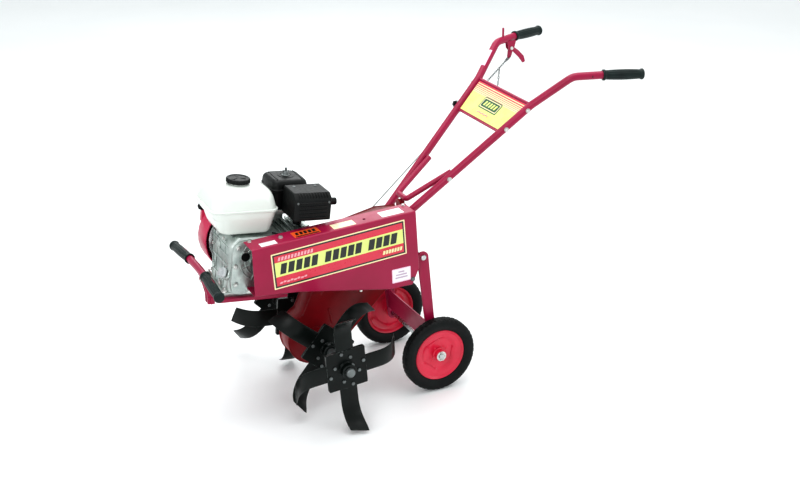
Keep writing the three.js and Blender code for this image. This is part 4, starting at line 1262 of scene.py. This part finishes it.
def link(centre, along, flat, length=11.0, wide=6.0, wire=1.05):
    """One chain link lying in the plane of along and flat."""
    centre, along, flat = Vector(centre), Vector(along).normalized(), Vector(flat).normalized()
    r = wide / 2 - wire
    straight = length / 2 - wide / 2
    line = []
    for end in (1, -1):
        for k in range(7):
            a = math.pi * k / 6 - math.pi / 2
            line.append(centre + along * end * (straight + r * math.cos(a)) + flat * end * r * math.sin(a))
    return sweep(line, wire, 8, closed=True)


def chain(start, end, pitch=8.6):
    start, end = Vector(start), Vector(end)
    axis, u, v = basis(end - start)
    count = max(2, round((end - start).length / pitch))
    step = (end - start) / count
    return [link(start + step * (k + 0.5), axis, (u + v) if k % 2 else (u - v)) for k in range(count)]


links = chain(on_pull(4), on_pull(CHAIN_LENGTH - 1))
tail_top = on_pull(44)
links += chain(tail_top + Vector((-1.5, 0, -2)), tail_top + Vector((-6, 2, -72)))
clip = [on_pull(-3) + Vector((0, 5, 0)), on_pull(6) + Vector((0, 6, 0)), on_pull(15) + Vector((0, 4, 0)),
        on_pull(20), on_pull(15) + Vector((0, -4, 0)), on_pull(6) + Vector((0, -6, 0)),
        on_pull(-3) + Vector((0, -5, 0))]
links.append(sweep(bent(clip, 4, 4), 1.3, 10))
links.append(sweep([clip[0], clip[-1]], 1.6, 10))
piece("clutch_chain_links", links, IRON, "clutch_pull", "clutch_chain", sharp=60)
ferrules = []
for distance in (CHAIN_LENGTH + 4, PULL_LENGTH - 20):
    ferrules.append(lathe([(0, -5), (2.2, -5), (2.6, -4.4), (2.6, 4.4), (2.2, 5), (0, 5)],
        on_pull(distance), PULL, 16))
eye = [on_pull(PULL_LENGTH - 10) + Vector(d) for d in ((0, 0, 0), (0, 4, -4), (0, 3, -11), (0, -3, -11),
    (0, -4, -4))]
piece("cable_ferrules", [*ferrules, sweep(eye, 1.2, 8, closed=True)], BRIGHT, "clutch_pull", sharp=40)

# ------------------------------------------------------------------ engine: castings
def spoke(angle, inner, outer):
    """Outline of a radial bar between two (radius, half width) pairs."""
    u, w = math.cos(angle), math.sin(angle)
    (r0, h0), (r1, h1) = inner, outer
    return [(u * r0 - w * h0, w * r0 + u * h0), (u * r1 - w * h1, w * r1 + u * h1),
            (u * r1 + w * h1, w * r1 - u * h1), (u * r0 + w * h0, w * r0 - u * h0)]


refined("engine_block", ALUMINIUM, 1.2)
refined("crankcase_cover", ALUMINIUM, 1.2, segments=3)
castings = []
for r, height in ((44, 1.6), (58, 1.4)):
    castings.append(lathe([(r - 2.4, 82.4), (r + 2.4, 82.4), (r + 1.4, 83 + height), (r - 1.4, 83 + height),
                           (r - 2.4, 82.4)], (0, 0, 0), (0, -1, 0), 72))
for k in range(8):
    a = math.radians(22 + 45 * k)
    castings.append(slab(spoke(a, (30, 1.6), (62, 1.2)), -85.6, -82.6))
COVER_BOLTS = [(-66, 38), (-30, 50), (24, 50), (62, 38), (66, -10), (62, -60), (30, -88), (-30, -88),
    (-68, -66), (-72, -14)]
for x, z in COVER_BOLTS:
    castings.append(lathe([(0, 70), (8.4, 70), (8.4, 83.6), (7.4, 84.6), (0, 84.6)], (x, 0, z), (0, -1, 0), 24))
# front wall of the crankcase: ribs, a filler boss and a rounded governor boss
for z in (-64, -20, 8, 32):
    castings.append(block(-86.4, -83, -56, 58, z - 1.6, z + 1.6))
for y in (-34, 30, 56):
    castings.append(block(-86.0, -83, y - 1.6, y + 1.6, -88, 44))
castings.append(lathe([(0, -4), (18, -4), (18, 1), (16.5, 3), (0, 3)], (-83, -52, -44), (-0.94, 0, 0.34), 36))
castings.append(lathe([(0, -3), (13, -3), (12, 4), (7, 7), (0, 7.6)], (-83, 14, 18), (-1, 0, 0), 32))
castings.append(lathe([(0, -3), (10, -3), (9, 5), (6, 6.6), (0, 7)], (-83, 44, -52), (-1, 0, 0), 32))
piece("crankcase_detail", castings, ALUMINIUM, "chassis", bevel=0.5, place=CHASSIS)
engine_bolts = []
for x, z in COVER_BOLTS:
    engine_bolts += bolt((x, -84.4, z), (0, -1, 0), 5.4, head=4)
for y, z in ((-20, 46), (28, 46), (58, 4), (58, -74), (-10, -80)):
    engine_bolts += bolt((-84.2, y, z), (-1, 0, 0), 5)
engine_bolts += bolt((-84, -20, -84), (-1, 0, 0), 8)
fasteners("engine_bolts", engine_bolts, CHASSIS)
dark = [lathe([(0, 0), (12, 0), (12, 1.2), (0, 1.2)], (-46, -88.2, 14), (0, -1, 0), 32)]
piece("governor_seal", dark, PLASTIC, "chassis", sharp=30, place=CHASSIS)
cap_axis = Vector((-math.cos(math.radians(20)), 0, math.sin(math.radians(20))))
cap_at = Vector((-84.5, -52, -44))
cap_turn = Vector((0, 0, 1)).rotation_difference(cap_axis).to_matrix().to_4x4()
square_cap = moved(block(-10, 10, -6, 6, 13, 22.6), Matrix.Translation(cap_at) @ cap_turn)
OIL_CAP = finish("oil_cap_grey", (0.62, 0.65, 0.66), (0.54, 0.57, 0.58), 0.3, blotch=60, grain=1600,
                 grain_depth=0.00004, strength=0.3, coat=0.2)
piece("oil_filler_cap_moulded", [
    lathe([(0, 6), (14, 6), (14, 12.6), (13, 13.8), (0, 13.8)], cap_at, cap_axis, 48,
          lambda a, r, t: r + 0.5 * math.cos(16 * a) if r > 13.5 else r), square_cap],
      OIL_CAP, "oil_filler_cap", "oil_filler_cap", bevel=1.0, place=CHASSIS)

# crankshaft with its flywheel
refined("crankshaft", BRIGHT, 0.8)
refined("intermediate_shaft", BRIGHT, 0.6)

# cooling fins of the cylinder, finer than the solid ones
LEAN = math.radians(15)
fin_axis = Vector((math.cos(LEAN), 0, math.sin(LEAN)))
fin_turn = Matrix.Rotation(-LEAN, 4, "Y")
fins = []
for k in range(8):
    d = 90.5 + 7.5 * k
    far_edge = 40 if 110 < d < 136 else 52  # shorter beside the choke lever
    fin = block(-0.9, 0.9, -52, far_edge, -40, 40)
    fins.append(moved(fin, Matrix.Translation(fin_axis * d) @ fin_turn))
piece("cylinder_fins", fins, ALUMINIUM, "chassis", bevel=0.4, segments=1, place=CHASSIS)
head = [moved(block(150, 168, -36, 36, -27, 27), fin_turn)]
piece("rocker_cover", head, ALUMINIUM, "chassis", bevel=3, segments=3, place=CHASSIS)

# fan shroud and recoil starter
refined("fan_shroud", SHROUD_RED, 2.0, segments=3)
recoil = [lathe([(0, 160), (52, 160), (56, 163.2), (62, 163.6), (66, 162), (70, 163.6), (73.4, 162),
    (73.4, 158),
                 (60, 157), (0, 157)], (0, 0, 0), (0, 1, 0), 96)]
for k in range(16):
    a = math.radians(22.5 * k)
    recoil.append(slab(spoke(a, (30, 2.2), (50, 3.0)), 159, 164.0))
piece("recoil_cover", recoil, SHROUD_RED, "chassis", bevel=0.5, place=CHASSIS)
shroud_bolts = []
for a in (40, 135, 225, 320):
    shroud_bolts += bolt(polar((0, 146, 0), 86, math.radians(a)), (0, 1, 0), 5)
shroud_bolts.append(dome((0, 160, 0), (0, 1, 0), 11, 3.4, 32))
fasteners("shroud_bolts", shroud_bolts, CHASSIS)
refined("starter_handle", PLASTIC, 1.5, segments=3)
refined("engine_switch", PLASTIC, 0.8)
refined("throttle_lever", ZINC, 0.7)
refined("choke_lever", PLASTIC, 0.6)

# ------------------------------------------------------------------ fuel tank
SEAM = 131
lower = curve_through([
    [63.0, -84, 16, -36, 46, 14], [64.6, -94, 28, -46, 56, 18], [69, -104, 37, -53, 63, 22],
    [84, -113, 43, -56, 67, 24],
    [104, -120, 47, -60, 74, 26],
], 5)
middle = curve_through([
    [106, -121, 47.6, -60.2, 92, 26], [112, -125, 49, -61, 99, 26], [SEAM - 6, -131, 50.5, -61.5, 102, 26],
    [SEAM - 3.6, -132, 51, -61.8, 102.4, 26],
], 4)
flange = [[SEAM - 3, -137, 55, -64.4, 105.4, 27], [SEAM - 2.2, -138, 56, -65, 106, 27.5],
    [SEAM - 0.5, -138, 56, -65, 106, 27.5],
          [SEAM, -136.6, 54.6, -63.8, 104.8, 27], [SEAM + 0.5, -138, 56, -65, 106, 27.5],
          [SEAM + 2.2, -138, 56, -65, 106, 27.5], [SEAM + 3, -137, 55, -64.4, 105.4, 27]]
upper = curve_through([
    [SEAM + 3.6, -132, 51, -61.8, 102.4, 26], [SEAM + 8, -131.6, 50.6, -61.4, 102, 27],
    [150, -129.4, 48.6, -59.6, 100.4, 30],
    [164, -125, 45, -56, 96.6, 33], [175, -118, 39, -49.6, 90.6, 34], [182.6, -108, 30, -41, 82.6, 34],
    [187, -95, 18, -30, 71, 32], [188.6, -78, 4, -16, 58, 26], [189, -66, -10, -4, 44, 20],
], 5)
tank_levels = lower + middle + flange + upper
piece("fuel_tank_moulded", loft(tank_levels, 12), TANK, "chassis", "fuel_tank", sharp=38, place=CHASSIS)
tabs = []
for x in (-100, -40, 20):
    tabs += bolt((x, 103, SEAM + 3), (0, 0, 1), 4.4)
fasteners("tank_flange_bolts", tabs, CHASSIS)
CAP = (-42, 12, 0)  # the filler's centre, on the tank
piece("fuel_neck", [lathe([(0, 183), (24, 183), (25, 185), (25, 190.6), (22, 191.4), (0, 191.4)], CAP,
    (0, 0, 1), 48)],
      TANK, "chassis", sharp=40, place=CHASSIS)


def knurled(count, depth):
    return lambda a, r, t: r - depth * (0.5 - 0.5 * math.cos(count * a)) ** 3 if r > 30.5 else r


piece("fuel_cap_moulded", [
    lathe([(0, 192.2), (31, 192.2), (33, 193.6), (33, 201.4), (32, 203.6), (30, 204.8), (26, 205),
    (24.6, 203.6),
           (20, 203.2), (8, 203.8), (0, 204)], CAP, (0, 0, 1), 144, knurled(24, 1.6)),
    *[turn(block(-44, -40, 18, 34, 202.4, 204.6), k * 120, "Z", CAP) for k in range(3)]],
      PLASTIC, "fuel_cap", "fuel_cap", sharp=30, place=CHASSIS)
# a plain film label by the cap, following the tank's top
decal("tank_label", (-12, -14, 188.7), (0, -1, 0), (0.99, 0, -0.14), [
    (LILAC, rounded_quad(-34, 0, 8, 9, 1.2)),
    *[(PAPER, quad(-31 + 9 * k, 3.2, -25 + 9 * k, 5.6, 0.2)) for k in range(4)]],
      "chassis", place=CHASSIS)

# ------------------------------------------------------------------ air cleaner
cleaner = [[108, 66, 152, 6, 92, 12], [110, 64.4, 153.6, 4.4, 93.6, 12], *curve_through([
    [112, 64, 154, 4, 94, 12], [136, 62, 156, 1.6, 96, 13], [158, 60, 158, -0.8, 98, 14]], 3),
    [160, 57, 161.2, -1.8, 100.4, 16], [161.4, 56.2, 161.8, -2, 100.9, 16], [165, 56, 162, -2, 101, 16],
    [166, 57.2, 160.8, -1, 100, 16], *curve_through([
        [167, 57.4, 160.6, -0.6, 99.6, 16], [178, 58, 160, 0, 99, 16], [185, 60, 158, 2, 97, 17],
        [189.6, 64, 154, 6, 93, 18], [191.4, 69, 149, 11, 88, 18], [192, 76, 142, 18, 81, 16]], 4)]
NUT = (110, 48, 0)  # the wing nut's centre, on the cleaner
piece("air_cleaner_moulded", [
    loft(cleaner, 8),
    lathe([(14, 190), (24, 190), (24, 191.6), (22.6, 193.2), (16, 193.2), (14, 191.6), (14, 190)], NUT,
    (0, 0, 1), 48),
    *[block(x, x + 2, 14, 84, 191, 192.9) for x in (72.5, 144.5)]],
      PLASTIC, "chassis", "air_cleaner", sharp=32, place=CHASSIS)
wings = []
for way in (-1, 1):
    outline = [(NUT[0] + way * x, z) for x, z in ((3, 198), (8, 200), (9, 206), (7, 207), (4, 203))]
    wings.append(slab(rounded(outline, 1.6, 3), NUT[1] - 1.6, NUT[1] + 1.6))
piece("air_cleaner_nut_cast", [
    lathe([(0, 192.4), (12, 192.4), (12, 194), (8.4, 195.4), (7.4, 203), (6.4, 204.6), (0, 204.6)], NUT,
    (0, 0, 1), 32),
    lathe([(0, 203), (3.2, 203), (3.2, 212.8), (2.4, 213.8), (0, 213.8)], NUT, (0, 0, 1), 20), *wings],
      IRON, "air_cleaner_nut", "air_cleaner_nut", bevel=0.5, place=CHASSIS)

# ------------------------------------------------------------------ muffler and its guard
GX0, GX1, GY0, GY1, GZ0, GZ1 = 82, 188, -100, -6, 110, 184


def muffler_guard():
    """Folded box, open below, with a chamfered upper edge towards the belt side."""
    section = [(GY1, GZ0), (GY1, GZ1 - 6), (GY1 - 6, GZ1), (GY0 + 17, GZ1), (GY0 + 1.6, GZ1 - 13),
        (GY0, GZ1 - 17), (GY0, GZ0)]
    points, faces = [], []
    for x in (GX0, GX0 + 2.5, GX1 - 2.5, GX1):
        tight = 2.5 if x in (GX0, GX1) else 0
        ring = [(min(max(y, GY0 + tight), GY1 - tight), min(z, GZ1 - tight)) for y, z in section]
        points += [(x, y, z) for y, z in ring]
    n = len(section)
    for k in range(3):
        for i in range(n - 1):
            faces.append((k * n + i, k * n + i + 1, (k + 1) * n + i + 1, (k + 1) * n + i))
    return points, [*faces, tuple(range(n)), tuple(range(3 * n, 4 * n))]


shell = mesh_object("muffler_guard_pressed", [muffler_guard()], [GUARD_BLACK], CHASSIS)
thicken(shell, lambda f: f.calc_center_median().z, (0, 0, 1), 1.6, even=False)
edges(shell, 0.5, 2)
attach(shell, "chassis")
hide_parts("muffler_guard")
louvres = []
for k in range(5):
    z = GZ0 + 8 + 10.6 * k
    louvres.append(sweep([(GX0 + 12, GY0 + 0.8, z), (GX0 + 15, GY0 - 1.2, z), (GX1 - 15, GY0 - 1.2, z),
        (GX1 - 12, GY0 + 0.8, z)],
                         [1.2, 2.2, 2.2, 1.2], 14))
for k in range(11):
    x = GX0 + 14 + 8.2 * k
    louvres.append(sweep([(x, GY0 + 2.6, GZ1 - 12), (x, GY0 + 5.0, GZ1 - 8.6), (x, GY0 + 13, GZ1 - 2.6),
        (x, GY0 + 16, GZ1 - 0.8)],
                         [1.2, 2.0, 2.0, 1.2], 10))
for k in (0, 1, 2, 3, 8):
    y = GY0 + 12 + 9 * k
    louvres.append(sweep([(GX1 - 0.6, y, GZ0 + 12), (GX1 + 1.0, y, GZ0 + 15), (GX1 + 1.0, y, GZ0 + 36),
        (GX1 - 0.6, y, GZ0 + 39)],
                         [1.0, 1.8, 1.8, 1.0], 10))
piece("muffler_louvres", louvres, GUARD_BLACK, "chassis", sharp=50, place=CHASSIS)
guard_screws = [dome((GX0 + 22, -30, GZ1), (0, 0, 1), 4.4, 2.2),
    dome((GX1 - 22, -30, GZ1), (0, 0, 1), 4.4, 2.2),
                dome((GX0 + 8, GY0, GZ0 + 50), (0, -1, 0), 3.4, 1.8),
                dome((GX1 - 8, GY0, GZ0 + 50), (0, -1, 0), 3.4, 1.8)]
piece("muffler_guard_screws", guard_screws, IRON, "chassis", sharp=30, place=CHASSIS)
muffler_levels = curve_through([[114.5, 94, 176, -88, -18, 12], [118, 90, 180, -92, -14, 14],
                                [136, 90, 180, -92, -14, 14], [156, 90, 180, -92, -14, 14],
                                [159.5, 94, 176, -88, -18, 12]], 3)
pipe = [(6.8, 178), (10, 178), (10, 225.6), (9.2, 227), (7.6, 227), (6.8, 225.6), (6.8, 178)]
piece("muffler_pressed", [loft(muffler_levels, 6), lathe(pipe, (0, -40, 140), (1, 0, 0), 40),
                          lathe([(0, 206), (6.8, 206), (6.8, 207), (0, 207)], (0, -40, 140), (1, 0, 0), 24),
                          lathe([(0, 77), (12, 77), (12, 116), (0, 116)], (122, -28, 0), (0, 0, 1), 32)],
      GUARD_BLACK, "chassis", "muffler", sharp=40, place=CHASSIS)

# -------------------------------------------------- small engine fittings: lead and brackets
lead_line = bent([(150, -20, 60), (176, -34, 44), (150, -66, 22), (96, -72, 30), (70, -66, 60),
    (46, -40, 58)], 12, 6)
piece("spark_lead", [sweep(lead_line, 3.2, 14), sweep([(160, -14, 62), (150, -20, 60), (140, -27, 57)],
    [5, 6, 5], 16)],
      PLASTIC, "chassis", sharp=50, place=CHASSIS)
wide_foot = rounded([(-70, 56), (-46, 56), (-42, 66), (-74, 66)], 3)
narrow_foot = rounded([(2, 56), (16, 56), (16, 66), (2, 66)], 3)
brackets = [slab(wide_foot, -34, -30), slab(narrow_foot, -34, -30), slab(wide_foot, 34, 38)]
piece("tank_brackets", brackets, IRON, "chassis", bevel=0.6, place=CHASSIS)

# ------------------------------------------------------------------ CAD nodes that stay as they are
KEPT = {"input_chain": BRIGHT, "output_chain": BRIGHT}
for name, material in KEPT.items():
    for slot in frame["nodes"][name].material_slots:
        slot.material = material

# ------------------------------------------------------------------ studio
floor_tree = Tree("pale_floor")
cloud = floor_tree.band(floor_tree.noise(1.3, 3), 0.3, 0.7)
pale = floor_tree.mix(cloud, rgba(0.86, 0.885, 0.885), rgba(0.90, 0.92, 0.92))
floor_tree.put(floor_tree.shader.inputs["Base Color"], pale)
floor_tree.put(floor_tree.shader.inputs["Roughness"], floor_tree.band(floor_tree.noise(30, 3), 0.3, 0.7,
    0.5, 0.6))
REACH, RISE, BEND = 7.0, 5.0, 1.6
rows = [(-REACH, 0.0), (REACH - BEND, 0.0)]
for k in range(1, 13):
    a = math.pi / 2 * k / 12
    rows.append((REACH - BEND + BEND * math.sin(a), BEND * (1 - math.cos(a))))
rows.append((REACH, RISE))
floor_mesh = bpy.data.meshes.new("floor")
points = [(x, y, z - 0.0005) for y, z in rows for x in (-9.0, 9.0)]
floor_mesh.from_pydata(points, [], [(2 * i, 2 * i + 1, 2 * i + 3, 2 * i + 2) for i in range(len(rows) - 1)])
for polygon in floor_mesh.polygons:
    polygon.use_smooth = True
floor_mesh.materials.append(floor_tree.material)
floor = bpy.data.objects.new("floor", floor_mesh)
scene.collection.objects.link(floor)


def softbox(name, at, towards, wide, high, power):
    light = bpy.data.lights.new(name, "AREA")
    light.shape = "RECTANGLE"
    light.size, light.size_y = wide, high
    light.energy = power
    obj = bpy.data.objects.new(name, light)
    obj.location = at
    obj.rotation_euler = (Vector(towards) - Vector(at)).to_track_quat("-Z", "Y").to_euler()
    scene.collection.objects.link(obj)


softbox("overhead", (0.0, 0.3, 3.4), (0, 0, 0.3), 3.4, 2.6, 58)
softbox("front_left", (-3.0, -2.4, 2.4), (-0.1, 0, 0.4), 1.8, 1.8, 30)
softbox("front_right", (2.6, -2.6, 1.8), (0, 0, 0.4), 1.6, 1.8, 14)
softbox("behind", (1.2, 3.6, 2.6), (0, 0, 0.5), 2.4, 1.6, 26)

world = bpy.data.worlds.new("studio")
world.use_nodes = True
scene.world = world
background = world.node_tree.nodes["Background"]
background.inputs["Color"].default_value = (0.97, 0.99, 1.0, 1)
background.inputs["Strength"].default_value = 0.80
scene.view_settings.view_transform = "Standard"
scene.view_settings.look = "Medium High Contrast"
